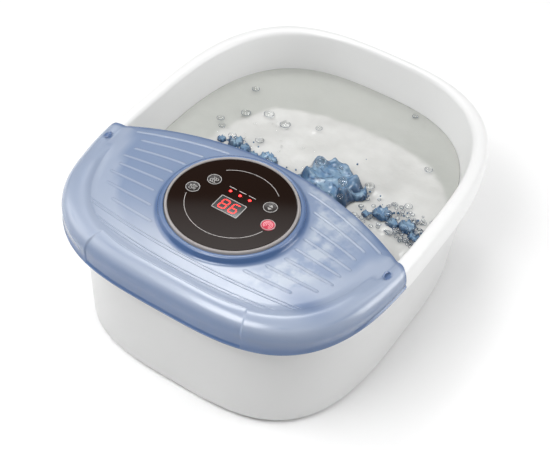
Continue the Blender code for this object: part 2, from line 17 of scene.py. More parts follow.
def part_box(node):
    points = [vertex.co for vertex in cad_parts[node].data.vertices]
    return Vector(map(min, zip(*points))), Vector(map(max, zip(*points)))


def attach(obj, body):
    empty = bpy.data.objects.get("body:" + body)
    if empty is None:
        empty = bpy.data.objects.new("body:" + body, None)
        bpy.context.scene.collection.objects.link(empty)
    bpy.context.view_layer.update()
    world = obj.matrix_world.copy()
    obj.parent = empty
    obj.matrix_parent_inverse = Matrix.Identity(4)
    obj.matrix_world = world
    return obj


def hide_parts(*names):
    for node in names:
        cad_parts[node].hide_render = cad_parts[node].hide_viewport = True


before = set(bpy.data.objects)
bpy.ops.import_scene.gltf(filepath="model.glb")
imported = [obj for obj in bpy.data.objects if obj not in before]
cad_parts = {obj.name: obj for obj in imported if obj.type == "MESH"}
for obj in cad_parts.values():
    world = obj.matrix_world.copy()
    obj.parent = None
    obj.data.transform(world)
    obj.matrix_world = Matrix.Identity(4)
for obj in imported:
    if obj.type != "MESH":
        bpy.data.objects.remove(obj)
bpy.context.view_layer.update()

# ---- driving dimensions

WIDEST_Y = 0.009
Plan = namedtuple("Plan", "half_width front rear front_power rear_power")
RIM_OUTER = Plan(0.1712, 0.2178, 0.2029, 3.35, 2.98)
RIM_INNER = Plan(0.1553, 0.192, 0.19, 3.2, 2.85)
FLOOR_EDGE = Plan(0.144, 0.181, 0.179, 3.0, 2.85)
SHELL_TOP = Plan(0.1655, 0.206, 0.196, 2.9, 2.8)
SHELL_FOOT = Plan(0.1557, 0.1967, 0.1905, 3.35, 2.95)
COVER_OUTER = Plan(0.1739, 0.2206, 0.2055, 3.35, 2.98)

ROUND_POINTS = 240  # points round a large outline
FLOOR_TOP = 0.048
WALL = 0.0026
SHELL_WALL = 0.0025
RIM_INNER_TOP = 0.156  # where the rim's roll meets the tub's wall
WALL_DROP = 0.094  # from there down to the round at the floor
COVER_WALL = 0.0021
COVER_REAR_CENTRE_Y = -0.336
COVER_REAR_RADIUS = 0.32
DECK_TOP = 0.1688
DECK_EDGE_INSET = 0.025
COLLAR_RADIUS = 0.0684
WATER_LEVEL = 0.119


def box_middle(node):
    """The middle of a CAD node's box."""
    return Vector([0.5 * (a + b) for a, b in zip(*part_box(node))])


BEZEL_LOW, BEZEL_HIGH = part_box("panel_bezel")
PANEL_LOW, PANEL_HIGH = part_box("control_panel")
HEAD = Vector((*box_middle("panel_bezel").xy, 0.0))
BEZEL_RADIUS = 0.5 * (BEZEL_HIGH[0] - BEZEL_LOW[0]) - 0.0013
BEZEL_TOP = BEZEL_HIGH[2]
PANEL_RADIUS = 0.5 * (PANEL_HIGH[0] - PANEL_LOW[0])
PANEL_TOP = PANEL_HIGH[2]
HEAD_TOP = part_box("inner_basin")[1][2]

KEYS = ("power_button", "temperature_button", "heat_button", "bubble_button")
KEY_RADIUS = 0.007
KEY_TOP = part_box("power_button")[1][2]
KEY_GAP = 0.0003  # between the panel and a key or the display window
LAMPS = [f"indicator_lamp_{number}" for number in (1, 2, 3)]
LAMP_HOLE_RADIUS = 0.0018
HOLE_DEPTH = 0.02
PRINT_HEIGHT, FRAME_HEIGHT = 0.0001, 0.00012  # of the lines and of the display's frame and digits
PRINT_ARC_RADIUS = 0.0445
DIGIT_WIDTH, DIGIT_HEIGHT, DIGIT_SHIFT = 0.0068, 0.0118, 0.0056


# ---- outlines and lofts


def plan_point(plan, angle, inset=0.0):
    """A point of a plan outline in the direction of angle, drawn in by inset."""
    c, s = math.cos(angle), math.sin(angle)
    reach, power = (plan.front, plan.front_power) if s < 0 else (plan.rear, plan.rear_power)
    sizes = abs(c / (plan.half_width - inset)) ** power + abs(s / (reach - inset)) ** power
    radius = sizes ** (-1 / power)
    return radius * c, WIDEST_Y + radius * s


def even_steps(point_at, count, start, end):
    """Parameters from start to end that cut the curve point_at(parameter) into equal lengths."""
    fine = numpy.linspace(start, end, 1501)
    places = numpy.array([point_at(value) for value in fine])
    lengths = numpy.cumsum([0.0, *numpy.linalg.norm(numpy.diff(places, axis=0), axis=1)])
    return numpy.interp(numpy.linspace(0.0, lengths[-1], count + 1), lengths, fine).tolist()


ROUND_ANGLES = even_steps(lambda angle: plan_point(RIM_OUTER, angle), ROUND_POINTS, 0.0, 2 * math.pi)[:-1]


def clamped(value):
    return min(1.0, max(0.0, value))


def smooth_share(value, low, high):
    """0 up to low and 1 from high on, with a smooth rise between them."""
    share = clamped((value - low) / (high - low))
    return share * share * (3 - 2 * share)


def mix(first, second, share):
    return Plan(*(a + (b - a) * share for a, b in zip(first, second)))


def smooth_rows(rows, per_span):
    """Rows of numbers on a Catmull-Rom curve through the given rows."""
    knots = [Vector(row) for row in rows]
    knots = [2 * knots[0] - knots[1], *knots, 2 * knots[-1] - knots[-2]]
    path = []
    for p0, p1, p2, p3 in zip(knots, knots[1:], knots[2:], knots[3:]):
        for step in range(per_span):
            t = step / per_span
            path.append(0.5 * (2 * p1 + (p2 - p0) * t + (2 * p0 - 5 * p1 + 4 * p2 - p3) * t ** 2
                               + (3 * p1 - p0 - 3 * p2 + p3) * t ** 3))
    return [*path, knots[-2]]


def plan_rings(levels):
    """Rings for loft() from (plan, inset, height) levels, with smooth ones between them."""
    rows = [(plan.half_width - inset, plan.front - inset, plan.rear - inset, plan.front_power, plan.rear_power,
             height) for plan, inset, height in levels]
    return [[(*plan_point(Plan(*row[:5]), angle), row[5]) for angle in ROUND_ANGLES]
            for row in smooth_rows(rows, 4)]


def add_rows(bm, rows, closed=True):
    """Faces between rows of equally many points. Rows that go up the outside of a form face outwards."""
    made = [[bm.verts.new(point) for point in row] for row in rows]
    count = len(rows[0])
    for low, high in zip(made, made[1:]):
        for index in range(count if closed else count - 1):
            after = (index + 1) % count
            bm.faces.new((low[index], low[after], high[after], high[index]))
    return made


def close_ends(bm, made):
    """Flat faces over the first and the last row."""
    bm.faces.new(list(reversed(made[0])))
    bm.faces.new(made[-1])


def join_ends(bm, made):
    """Faces from the last row round to the first."""
    count = len(made[0])
    for index in range(count):
        after = (index + 1) % count
        bm.faces.new((made[-1][index], made[-1][after], made[0][after], made[0][index]))


def shaded(mesh, sharp):
    """Smooth shading, but for edges sharper than so many degrees."""
    mesh.shade_smooth()
    mesh.set_sharp_from_angle(angle=math.radians(sharp))


def mesh_object(name, bm, sharp=40):
    mesh = bpy.data.meshes.new(name)
    bm.to_mesh(mesh)
    bm.free()
    shaded(mesh, sharp)
    obj = bpy.data.objects.new(name, mesh)
    bpy.context.scene.collection.objects.link(obj)
    return obj


def loft(name, rings, last_cap=False):
    bm = bmesh.new()
    made = add_rows(bm, rings)
    if last_cap:
        bm.faces.new(made[-1])
    return mesh_object(name, bm)


def applied(obj, sharp=40):
    """The object with its modifiers made part of its mesh."""
    graph = bpy.context.evaluated_depsgraph_get()
    mesh = bpy.data.meshes.new_from_object(obj.evaluated_get(graph))
    obj.modifiers.clear()
    obj.data = mesh
    shaded(mesh, sharp)
    return obj


def thicken(obj, thickness, edge_round=0.0, even=True):
    wall = obj.modifiers.new("wall", "SOLIDIFY")
    wall.thickness = thickness
    wall.offset = -1.0
    wall.use_even_offset = even
    if edge_round:
        bevel = obj.modifiers.new("edges", "BEVEL")
        bevel.width = edge_round
        bevel.segments = 3
        bevel.limit_method = "ANGLE"
        bevel.angle_limit = math.radians(60)
    return applied(obj)


def whole_turn(steps):
    """Angles round a whole turn."""
    return [2 * math.pi * step / steps for step in range(steps)]


def turned_rows(profile, steps, place=(0, 0, 0), axis="Z"):
    """Rows of a turned shape. The profile of (radius, height) runs up its outer side."""
    turn = Matrix.Rotation(math.radians(90), 3, "Y") if axis == "X" else Matrix.Identity(3)
    return [[turn @ Vector((radius * math.cos(angle), radius * math.sin(angle), height)) + Vector(place)
             for angle in whole_turn(steps)] for radius, height in profile]


def turned(name, profile, place, steps=64, closed=False, sharp=40):
    """A turned piece: capped at both ends, or, if closed, a ring whose profile returns to its start."""
    bm = bmesh.new()
    made = add_rows(bm, turned_rows(profile, steps, place))
    (join_ends if closed else close_ends)(bm, made)
    bmesh.ops.recalc_face_normals(bm, faces=bm.faces)
    return mesh_object(name, bm, sharp)


def rounded_profile(corners, radius, steps=4):
    """A (radius, height) profile with its inner corners rounded."""
    path = [Vector(corners[0])]
    for before, corner, after in zip(corners, corners[1:], corners[2:]):
        corner = Vector(corner)
        back, ahead = Vector(before) - corner, Vector(after) - corner
        reach = min(radius, 0.45 * back.length, 0.45 * ahead.length)
        start, end = corner + back.normalized() * reach, corner + ahead.normalized() * reach
        for step in range(steps + 1):
            t = step / steps
            path.append((1 - t) ** 2 * start + 2 * t * (1 - t) * corner + t ** 2 * end)
    path.append(Vector(corners[-1]))
    return [tuple(point) for point in path]


def box_piece(name, centre, size, bevel):
    bm = bmesh.new()
    bmesh.ops.create_cube(bm, size=1.0, matrix=Matrix.Translation(centre) @ Matrix.Diagonal((*size, 1.0)))
    bmesh.ops.bevel(bm, geom=list(bm.edges), offset=bevel, segments=3, affect="EDGES", profile=0.6)
    return mesh_object(name, bm)


STRIP_SINK = Vector((0, 0, 0.0008))  # how far the foot of a ridge reaches into the deck


def strip_rows(path, width, height, taper):
    """Rows of a low rounded ridge along path, a list of (point, sideways) pairs, with tapered ends."""
    length = sum((b[0] - a[0]).length for a, b in zip(path, path[1:]))
    rows, gone = [], 0.0
    for index, (point, sideways) in enumerate(path):
        if index:
            gone += (point - path[index - 1][0]).length
        near_end = min(1.0, min(gone, length - gone) / taper)
        rise = math.sqrt(max(0.02, 1 - (1 - near_end) ** 2))
        row = [point - sideways * width / 2 - STRIP_SINK]
        for step in range(7):
            angle = math.pi * step / 6
            up = height * math.sin(angle) * rise
            row.append(point - sideways * (width / 2) * math.cos(angle) * rise + Vector((0, 0, up)))
        row.append(point + sideways * width / 2 - STRIP_SINK)
        rows.append(row)
    return rows


def add_strip(bm, path, width, height, taper=0.003):
    made = add_rows(bm, strip_rows(path, width, height, taper))
    close_ends(bm, made)
    new_faces = {face for row in made for vert in row for face in vert.link_faces}
    bmesh.ops.recalc_face_normals(bm, faces=list(new_faces))


# ---- tub and housing


def tub():
    """Rolled rim with its skirt, walls and floor, in one moulding."""
    rim = [
        (0.24, 0.132), (0.1, 0.133), (0.03, 0.1368), (0.0, 0.144), (0.012, 0.152), (0.07, 0.1586),
        (0.19, 0.1627), (0.38, 0.1645), (0.6, 0.1649), (0.8, 0.1641), (0.94, 0.1612), (1.0, RIM_INNER_TOP),
    ]
    levels = [(mix(RIM_OUTER, RIM_INNER, share), 0.0, height) for share, height in rim]
    for share in (0.12, 0.5, 1.0):
        levels.append((mix(RIM_INNER, FLOOR_EDGE, share), 0.0, RIM_INNER_TOP - share * WALL_DROP))
    for inset, height in ((0.004, 0.054), (0.01, 0.05), (0.02, FLOOR_TOP), (0.03, FLOOR_TOP)):
        levels.append((FLOOR_EDGE, inset, height))
    return thicken(loft("tub", plan_rings(levels), last_cap=True), WALL)


def control_column():
    """The hollow column that rises from the floor to the control head."""
    def level(height, half_width, rear, front, power):
        return half_width, 0.5 * (rear - front), power, 0.5 * (rear + front) - WIDEST_Y, height

    wall_front = WIDEST_Y - FLOOR_EDGE.front - WALL / 2
    rim_front = WIDEST_Y - RIM_INNER.front
    head = HEAD.y - WIDEST_Y
    levels = [
        level(FLOOR_TOP - WALL, 0.041, -0.053, -0.16, 3), level(0.0515, 0.0388, -0.0552, -0.165, 3),
        level(0.062, 0.038, -0.056, wall_front, 3), level(0.12, 0.044, -0.052, wall_front - 0.0068, 3),
        level(0.14, 0.052, -0.042, rim_front - 0.0002, 2.6), (0.062, 0.062, 2, head, 0.151),
        (0.062, 0.062, 2, head, HEAD_TOP),
    ]
    rings = []
    for half_width, reach, power, shift, height in smooth_rows(levels, 6):
        plan = Plan(half_width, reach, reach, power, power)
        rings.append([(x, y + shift, height) for x, y in (plan_point(plan, angle) for angle in ROUND_ANGLES)])
    return thicken(loft("control_column", rings), WALL)


def housing_shell():
    """The side wall, with a soft lower edge that turns in under the base."""
    soft_edge = [(0.0165, 0.003), (0.01, 0.003), (0.0055, 0.0032), (0.0022, 0.0045), (0.0006, 0.007),
                 (0.0, 0.0105)]
    levels = [(SHELL_FOOT, inset, height) for inset, height in soft_edge]
    for share in (0.2, 0.45, 0.7, 0.9, 1.0):
        levels.append((mix(SHELL_FOOT, SHELL_TOP, share), 0.0, 0.0105 + share * 0.1475))
    return thicken(loft("housing_shell", plan_rings(levels)), SHELL_WALL)


# ---- splash cover


def from_rear(x, y):
    """How far a place lies in front of the cover's rear edge, which is an arc."""
    return COVER_REAR_RADIUS - math.hypot(x, y - COVER_REAR_CENTRE_Y)


def deck_height(x, y):
    """Height of the cover's deck: crowned across, level along, and rolled down at its rear edge."""
    roll = 0.0016 * math.exp(-((max(from_rear(x, y), 0.0) / 0.004) ** 2))
    return DECK_TOP - 0.0034 * (x / 0.14) ** 2 - 0.001 * ((y - HEAD.y) / 0.1) ** 2 - roll


def skirt_height(y):
    """Height of the cover's lower edge: lowest in front, rising towards its rear ends."""
    return 0.136 + 0.009 * clamped((y + 0.212) / 0.145)


def rear_end_angle(inset):
    """Where the cover's outline, drawn in by inset, meets its rear arc on the +X side."""
    low, high = -math.pi / 2, 0.0
    for _ in range(50):
        middle = 0.5 * (low + high)
        inside = from_rear(*plan_point(COVER_OUTER, middle, inset)) > 0
        low, high = (middle, high) if inside else (low, middle)
    return low


def cover_edge(shares, inset=0.0):
    """Angles along the outline, drawn in by inset: share 0 is its right rear end, 1 its left one."""
    start = rear_end_angle(inset)
    return [start + share * (-math.pi - 2 * start) for share in shares]


SEAM_X = 0.085  # seams of the front border's set-back middle
SEAM_REACH = 0.23  # from the middle of the plan to a seam
SMALLEST_STEP = 0.0012  # between points along the border, in radians
SEAM_WIDTH = 0.0016
BORDER = [  # (inset, height): the first is the lower edge, then heights over it, then over the ground
    (0.0011, None), (0.0001, 0.001), (0.0, 0.0026), (0.0014, 0.0042),
    (0.0013, 0.148), (0.0012, 0.154), (0.0024, 0.159), (0.0052, 0.1632), (0.0092, 0.1662), (0.0138, 0.1679),
    (0.018, 0.1684), (0.0214, 0.168),
]


def border_shares():
    """Steps along the cover's outline, from its right rear end round the front, denser at the seams."""
    start = rear_end_angle(0.0)
    end = -math.pi - start
    angles = even_steps(lambda angle: plan_point(COVER_OUTER, angle), 180, start, end)
    seam_step = SEAM_WIDTH / SEAM_REACH / 3
    for side in (1, -1):
        front = [angle for angle in angles if math.sin(angle) <= -0.5]
        seam = min(front, key=lambda angle: abs(plan_point(COVER_OUTER, angle)[0] - side * SEAM_X))
        angles += [seam + seam_step * number for number in range(-4, 5) if number]
    angles = sorted(angles, reverse=True)
    kept = [angles[0]]
    for angle in angles[1:-1]:
        if min(kept[-1] - angle, angle - angles[-1]) > SMALLEST_STEP:
            kept.append(angle)
    kept.append(angles[-1])
    return [(angle - start) / (end - start) for angle in kept]


def proud_part(x, y):
    """How much the border's outer parts stand proud of its middle: 0 between the seams, 1 past them."""
    outer = smooth_share(abs(x), SEAM_X - SEAM_WIDTH / 2, SEAM_X + SEAM_WIDTH / 2)
    return outer * smooth_share(-y, 0.105, 0.155)


def cover_border(shares):
    """Rows of the rolled border, from the skirt's lower edge to the edge of the deck."""
    outline = [plan_point(COVER_OUTER, angle) for angle in cover_edge(shares)]
    rows = []
    for number, (inset, height) in enumerate([*BORDER, (DECK_EDGE_INSET, None)]):
        swell = math.sin(math.pi * clamped((number - 2.5) / 8.5)) ** 0.5 if number > 2 else 0.0
        row = []
        for angle, outer in zip(cover_edge(shares, inset), outline):
            proud = 0.0018 * proud_part(*outer) * swell
            x, y = plan_point(COVER_OUTER, angle, inset - 0.7 * proud)
            if height is None:
                z = skirt_height(y) if number == 0 else deck_height(x, y)
            elif height < 0.1:
                z = skirt_height(y) + height
            else:
                front = clamped((-0.085 - y) / 0.035)
                crest = clamped((inset - 0.009) / 0.009) * (deck_height(x, y) + 0.0011 * front - height)
                z = height + (crest if crest > 0 else crest * (1 - front)) + 0.5 * proud
            row.append((x, y, z))
        rows.append(row)
    return rows


def smoothed_across(rows, first, per_span):
    """The rows with smooth ones between them from index first on."""
    kept = rows[:first]
    columns = [smooth_rows(column, per_span) for column in zip(*rows[first:])]
    return kept + [list(row) for row in zip(*columns)]


def level_sideways(along):
    """The level direction to the left of along."""
    return Vector((-along.y, along.x, 0.0))


def rib_path(apex_y, bow, x_from, x_to, steps=40):
    """Points on the deck along y = apex_y - bow * x * x, each with its sideways direction."""
    path = []
    for step in range(steps + 1):
        x = x_from + (x_to - x_from) * step / steps
        y = apex_y - bow * x * x
        along = Vector((1.0, -2 * bow * x, 0.0)).normalized()
        path.append((Vector((x, y, deck_height(x, y))), level_sideways(along)))
    return path


def rib_bow(apex_y):
    """Ribs bow like the rear edge at the rear and the other way in front."""
    return 1.5 + 2.7 * (apex_y + 0.03) / 0.167


def cover_ribs(bm):
    """Ridges on the deck: a row each side of the head, and two pairs that run right across in front."""
    spans = [(-0.03, 0.044, 0.14), (-0.047, 0.062, 0.128), (-0.0655, 0.07, 0.126), (-0.083, 0.073, 0.129),
             (-0.0995, 0.073, 0.125), (-0.1165, 0.072, 0.125), (-0.135, 0.063, 0.118), (-0.152, 0.05, 0.1)]
    for apex_y, near, far in spans:
        for side in (1, -1):
            add_strip(bm, rib_path(apex_y, rib_bow(apex_y), side * near, side * far), 0.0036, 0.0008)
    for apex_y, reach in ((-0.169, 0.13), (-0.183, 0.104)):
        for offset in (0.0015, -0.0015):
            path = rib_path(apex_y + offset, rib_bow(apex_y), -reach, reach, 80)
            add_strip(bm, path, 0.0013, 0.0007)


LIP_REACH, LIP_INSET = 0.112, 0.0195


def front_lip_path():
    """Along the crest of the front border."""
    path = []
    for angle in cover_edge([step / 399 for step in range(400)], LIP_INSET):
        x, y = plan_point(COVER_OUTER, angle, LIP_INSET)
        if abs(x) < LIP_REACH and y < HEAD.y:
            ahead_x, ahead_y = plan_point(COVER_OUTER, angle - 0.002, LIP_INSET)
            along = Vector((ahead_x - x, ahead_y - y, 0.0)).normalized()
            path.append((Vector((x, y, deck_height(x, y) + 0.001)), level_sideways(along)))
    return path


SNAP_X, SNAP_Y = 0.1575, -0.08  # the snap pegs' marks


def snap_dimple(bm, side):
    """The oval mark of the snap peg near a rear corner."""
    centre = Vector((side * SNAP_X, SNAP_Y, 0.1668))
    tilt = Matrix.Rotation(side * math.radians(32), 3, "Y")
    rows = []
    for angle in whole_turn(28):
        out = Vector((0.0032 * math.cos(angle), 0.0046 * math.sin(angle), 0.0))
        thick = [out.normalized() * math.cos(lean) + Vector((0, 0, math.sin(lean))) for lean in whole_turn(8)]
        rows.append([centre + tilt @ (out + 0.0007 * way) for way in thick])
    join_ends(bm, add_rows(bm, rows))


COLLAR_FOOT = [(0.0045, 0.0), (0.0022, 0.0005), (0.0009, 0.0018)]  # (past COLLAR_RADIUS, over the deck)
COLLAR_LIP = [  # (past COLLAR_RADIUS, height)
    (0.0002, 0.1722), (-0.0002, 0.1737), (-0.001, 0.1746), (-0.002, 0.1749), (-0.0036, 0.175),
    (-0.0046, 0.1746), (-0.0049, 0.1735),
]


def deck_and_collar(edge):
    """Rows from the deck's edge in to the collar, up its side and over its lip."""
    left, right = (math.atan2(end.y - COVER_REAR_CENTRE_Y, end.x) for end in (edge[-1], edge[0]))
    loop = list(edge)
    for step in range(1, 100):
        angle = left + (right - left) * step / 100
        x, y = COVER_REAR_RADIUS * math.cos(angle), COVER_REAR_CENTRE_Y + COVER_REAR_RADIUS * math.sin(angle)
        loop.append(Vector((x, y, deck_height(x, y))))
    directions = [(point - HEAD).xy.normalized() for point in loop]

    def round_collar(past):
        return [HEAD.xy + out * (COLLAR_RADIUS + past) for out in directions]

    rows = []
    for step in range(13):
        share = 1 - (1 - step / 12) ** 1.5
        places = [point.xy.lerp(foot, share) for point, foot in zip(loop, round_collar(COLLAR_FOOT[0][0]))]
        rows.append([(x, y, deck_height(x, y)) for x, y in places])
    for past, rise in COLLAR_FOOT[1:]:
        rows.append([(x, y, deck_height(x, y) + rise) for x, y in round_collar(past)])
    for past, height in COLLAR_LIP:
        rows.append([(x, y, height) for x, y in round_collar(past)])
    return rows


def splash_guard():
    """The translucent cover: rolled border, deck and collar in one moulding, with its ribs."""
    border = smoothed_across(cover_border(border_shares()), 4, 3)
    bm = bmesh.new()
    add_rows(bm, border, closed=False)
    add_rows(bm, deck_and_collar([Vector(point) for point in border[-1]]))
    bmesh.ops.remove_doubles(bm, verts=bm.verts, dist=0.00002)
    deck_face = min(bm.faces, key=lambda face: (face.calc_center_median() - Vector((0.1, HEAD.y, 0.168))).length)
    bmesh.ops.recalc_face_normals(bm, faces=bm.faces)
    if deck_face.normal.z < 0:
        bmesh.ops.reverse_faces(bm, faces=bm.faces)
    guard = thicken(mesh_object("splash_guard", bm), COVER_WALL, 0.0007, even=False)
    bm = bmesh.new()
    bm.from_mesh(guard.data)
    cover_ribs(bm)
    add_strip(bm, front_lip_path(), 0.0022, 0.0006, taper=0.02)
    for side in (1, -1):
        snap_dimple(bm, side)
    bm.to_mesh(guard.data)
    bm.free()
    shaded(guard.data, 40)
    paint_cover(guard.data)
    return guard


def store(mesh, name, values):
    """Keeps a value for each point of a mesh, for its material to read."""
    mesh.attributes.new(name, "FLOAT", "POINT").data.foreach_set("value", values)


def spot(x, y, middle, size):
    """1 at the middle, fading away over size."""
    return math.exp(-((x - middle[0]) / size[0]) ** 2 - ((y - middle[1]) / size[1]) ** 2)


def paint_cover(mesh):
    """Stores the cover's changes of colour, from 0 to 1, in four layers, in the order of the table below.

    The first is deep blue where the plastic is clear and at the pegs, and painted shade on the collar's wall, down
    the border towards the skirt and along the rolled rear edge, there partly the deeper blue of plastic seen on
    edge; the second is the droplets inside; the third is pale: a painted highlight on the ribs and the lip, and on
    the border's top partly painted highlight, partly the white rim showing through; the fourth is a painted sheen
    on the middle of the front.
    """
    layers = {"deep_blue_and_shade": [], "mist": [], "highlight_and_white_rim": [], "painted_sheen": []}
    for vert in mesh.vertices:
        x, y, z = vert.co
        from_head = math.hypot(x, y - HEAD.y)
        # First layer: painted shade on the collar's wall, a little less on its top, partly the deeper blue of
        # plastic seen on edge.
        wall = 1.0 - 0.3 * smooth_share(z, 0.1738, 0.1747)
        collar_shade = wall * (1.0 - smooth_share(from_head, COLLAR_RADIUS + 0.0008, COLLAR_RADIUS + 0.005))
        below = deck_height(x, y) - z
        # Painted shade down the border towards the skirt and along the rolled rear edge, partly the deeper blue of
        # plastic on edge.
        side = smooth_share(below, 0.0004, 0.022) * smooth_share(from_head, 0.08, 0.09)
        rear = 1.0 - smooth_share(from_rear(x, y), 0.001, 0.005)
        clear = 0.55 * spot(x, y, (0.116, -0.152), (0.022, 0.014))
        from_peg = math.hypot((abs(x) - SNAP_X) / 0.004, (y - SNAP_Y) / 0.0055)
        peg = 0.85 * (1 - smooth_share(from_peg, 0.75, 1.15))
        layers["deep_blue_and_shade"].append(min(1.0, 0.9 * collar_shade + 0.75 * side + 0.7 * rear + clear + peg))
        # Third layer: painted highlight on the ribs and the lip; on the border's top partly painted highlight,
        # partly the white rim showing through.
        rib_highlight = smooth_share(-below, 0.0002, 0.0008) * smooth_share(from_head, 0.071, 0.075)
        border = smooth_share(below, -0.001, 0.0) * (1 - smooth_share(below, 0.002, 0.01))
        outer = smooth_share(math.hypot(x / 0.15, (y - WIDEST_Y) / 0.196), 0.98, 1.02)
        layers["highlight_and_white_rim"].append(max(0.75 * rib_highlight, 0.85 * border * outer))
        # Fourth layer: a painted sheen of light on the middle of the front.
        sheen_spot = spot(x, y, (-0.005, -0.166), (0.085, 0.03)) * smooth_share(from_head, 0.069, 0.073)
        layers["painted_sheen"].append(0.85 * sheen_spot * (1 - side))
        deck = smooth_share(from_head, 0.072, 0.082) * smooth_share(x, 0.015, 0.05)
        layers["mist"].append(deck * smooth_share(0.13 - x, 0.0, 0.03) * smooth_share(y, -0.19, -0.15))
    for name, values in layers.items():
        store(mesh, name, values)


# ---- control head


def drawn_in(radius, top, *steps):
    """Points of a profile, each given as (in from radius, down from top)."""
    return [(radius - inset, top - drop) for inset, drop in steps]


def bezel_ring():
    """The silver ring round the disc."""
    inner = PANEL_RADIUS + 0.0004  # a little wider than the disc
    profile = [(BEZEL_RADIUS, 0.1687), (BEZEL_RADIUS, 0.1758), (BEZEL_RADIUS - 0.0004, 0.1766),
               *drawn_in(BEZEL_RADIUS, BEZEL_TOP, (0.001, 0.0001), (0.0014, 0)),
               *drawn_in(inner, BEZEL_TOP, (-0.0008, 0.0001), (-0.0002, 0.0004)), (inner, 0.1762),
               (inner, 0.1738), (0.0572, 0.1738), (0.0572, 0.1699), (0.0625, 0.1699), (0.0625, 0.1687)]
    return turned("bezel_ring", profile, HEAD, 160, closed=True)


def panel_disc():
    """The black disc with real holes for the keys, the lamps and the display window."""
    rounding = drawn_in(PANEL_RADIUS, PANEL_TOP, (0, 0.0004), (0.0001, 0.0002), (0.0003, 0))
    profile = [(PANEL_RADIUS, PANEL_LOW[2]), *rounding]
    disc = turned("panel_disc", profile, HEAD, 160)
    bm = bmesh.new()
    holes = [(key, KEY_RADIUS + KEY_GAP, 64) for key in KEYS] + [(lamp, LAMP_HOLE_RADIUS, 32) for lamp in LAMPS]
    for node, radius, segments in holes:
        middle = Matrix.Translation((*box_middle(node).xy, PANEL_TOP))
        bmesh.ops.create_cone(bm, cap_ends=True, segments=segments, radius1=radius, radius2=radius,
                              depth=HOLE_DEPTH, matrix=middle)
    low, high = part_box("display_window")
    size = (high[0] - low[0] + KEY_GAP, high[1] - low[1] + KEY_GAP, HOLE_DEPTH, 1.0)
    middle = Matrix.Translation((*box_middle("display_window").xy, PANEL_TOP))
    bmesh.ops.create_cube(bm, size=1.0, matrix=middle @ Matrix.Diagonal(size))
    cutter = mesh_object("panel_cutter", bm)
    cut = disc.modifiers.new("holes", "BOOLEAN")
    cut.operation = "DIFFERENCE"
    cut.solver = "EXACT"
    cut.object = cutter
    applied(disc, 30)
    bpy.data.objects.remove(cutter)
    return disc


def flat_arc(bm, centre, radius, start, end, width, low, height, steps=48):
    """A flat band along an arc, from angle start to end, in degrees."""
    whole = abs(end - start) >= 360
    rows = []
    for step in range(steps if whole else steps + 1):
        angle = math.radians(start + (end - start) * step / steps)
        out = Vector((math.cos(angle), math.sin(angle)))
        inner, outer = centre + out * (radius - width / 2), centre + out * (radius + width / 2)
        rows.append([(*inner, low), (*outer, low), (*outer, low + height), (*inner, low + height)])
    (join_ends if whole else close_ends)(bm, add_rows(bm, rows))


def flat_bar(bm, start, end, width, low, height):
    start, end = Vector(start), Vector(end)
    side = Vector((-(end - start).y, (end - start).x)).normalized() * width / 2
    corners = [start - side, end - side, end + side, start + side]
    close_ends(bm, add_rows(bm, [[(*corner, level) for corner in corners] for level in (low, low + height)]))


def flat_piece(name, bm):
    bmesh.ops.recalc_face_normals(bm, faces=bm.faces)
    return mesh_object(name, bm, 20)


def key_cap(node):
    """A round key: its cap with a dished face, and the silver ring on it."""
    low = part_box(node)[0][2]
    centre = Vector((*box_middle(node).xy, 0.0))
    dish = drawn_in(KEY_RADIUS, KEY_TOP, (0, 0.0006), (0.0002, 0.0002), (0.0006, 0), (0.0011, 0.0002),
                    (0.0013, 0.0005), (0.003, 0.0006))
    profile = [(0.0082, low), (0.0082, low + 0.001), (KEY_RADIUS, low + 0.0011), *dish]
    cap = turned(node + "_cap", profile, centre, 64, sharp=50)
    bm = bmesh.new()
    flat_arc(bm, centre.xy, KEY_RADIUS - 0.0005, 0, 360, 0.0006, KEY_TOP - 0.0004, 0.00042, 64)
    return cap, flat_piece(node + "_ring", bm), centre.xy


ICON = {"low": KEY_TOP - 0.0007, "height": 0.00025}


def power_icon(bm, centre):
    for radius in (0.0016, 0.003, 0.0043):
        flat_arc(bm, centre, radius, -60, 240, 0.00055, steps=40, **ICON)
    flat_bar(bm, centre + Vector((0, 0.0004)), centre + Vector((0, 0.002)), 0.0006, **ICON)


def arrows_icon(bm, centre):
    for side in (1, -1):
        corners = [centre + Vector((x, side * y)) for x, y in ((-0.0024, 0.0008), (0.0024, 0.0008), (0, 0.0036))]
        rows = [[(*corner, z) for corner in corners] for z in (ICON["low"], ICON["low"] + ICON["height"])]
        close_ends(bm, add_rows(bm, rows))


def heat_icon(bm, centre):
    for column in (-0.0022, 0.0, 0.0022):
        for half in (0, 1):
            middle = centre + Vector((column, -0.0014 + 0.0028 * half))
            flat_arc(bm, middle, 0.0014, 90 + 180 * half, 270 + 180 * half, 0.0006, steps=14, **ICON)
    flat_bar(bm, centre + Vector((-0.0036, -0.0036)), centre + Vector((0.0036, -0.0036)), 0.0006, **ICON)


def bubble_icon(bm, centre):
    for x, y, radius in ((-0.0016, -0.0016, 0.0015), (0.002, -0.0008, 0.0011), (-0.0002, 0.0022, 0.0012),
                         (0.0024, 0.0024, 0.0007), (-0.003, 0.0012, 0.0007)):
        flat_arc(bm, centre + Vector((x, y)), radius, 0, 360, 0.0005, steps=20, **ICON)


ICONS = {"power_button": power_icon, "temperature_button": arrows_icon, "heat_button": heat_icon,
         "bubble_button": bubble_icon}

SEGMENTS = {"9": "abcdfg", "8": "abcdefg"}


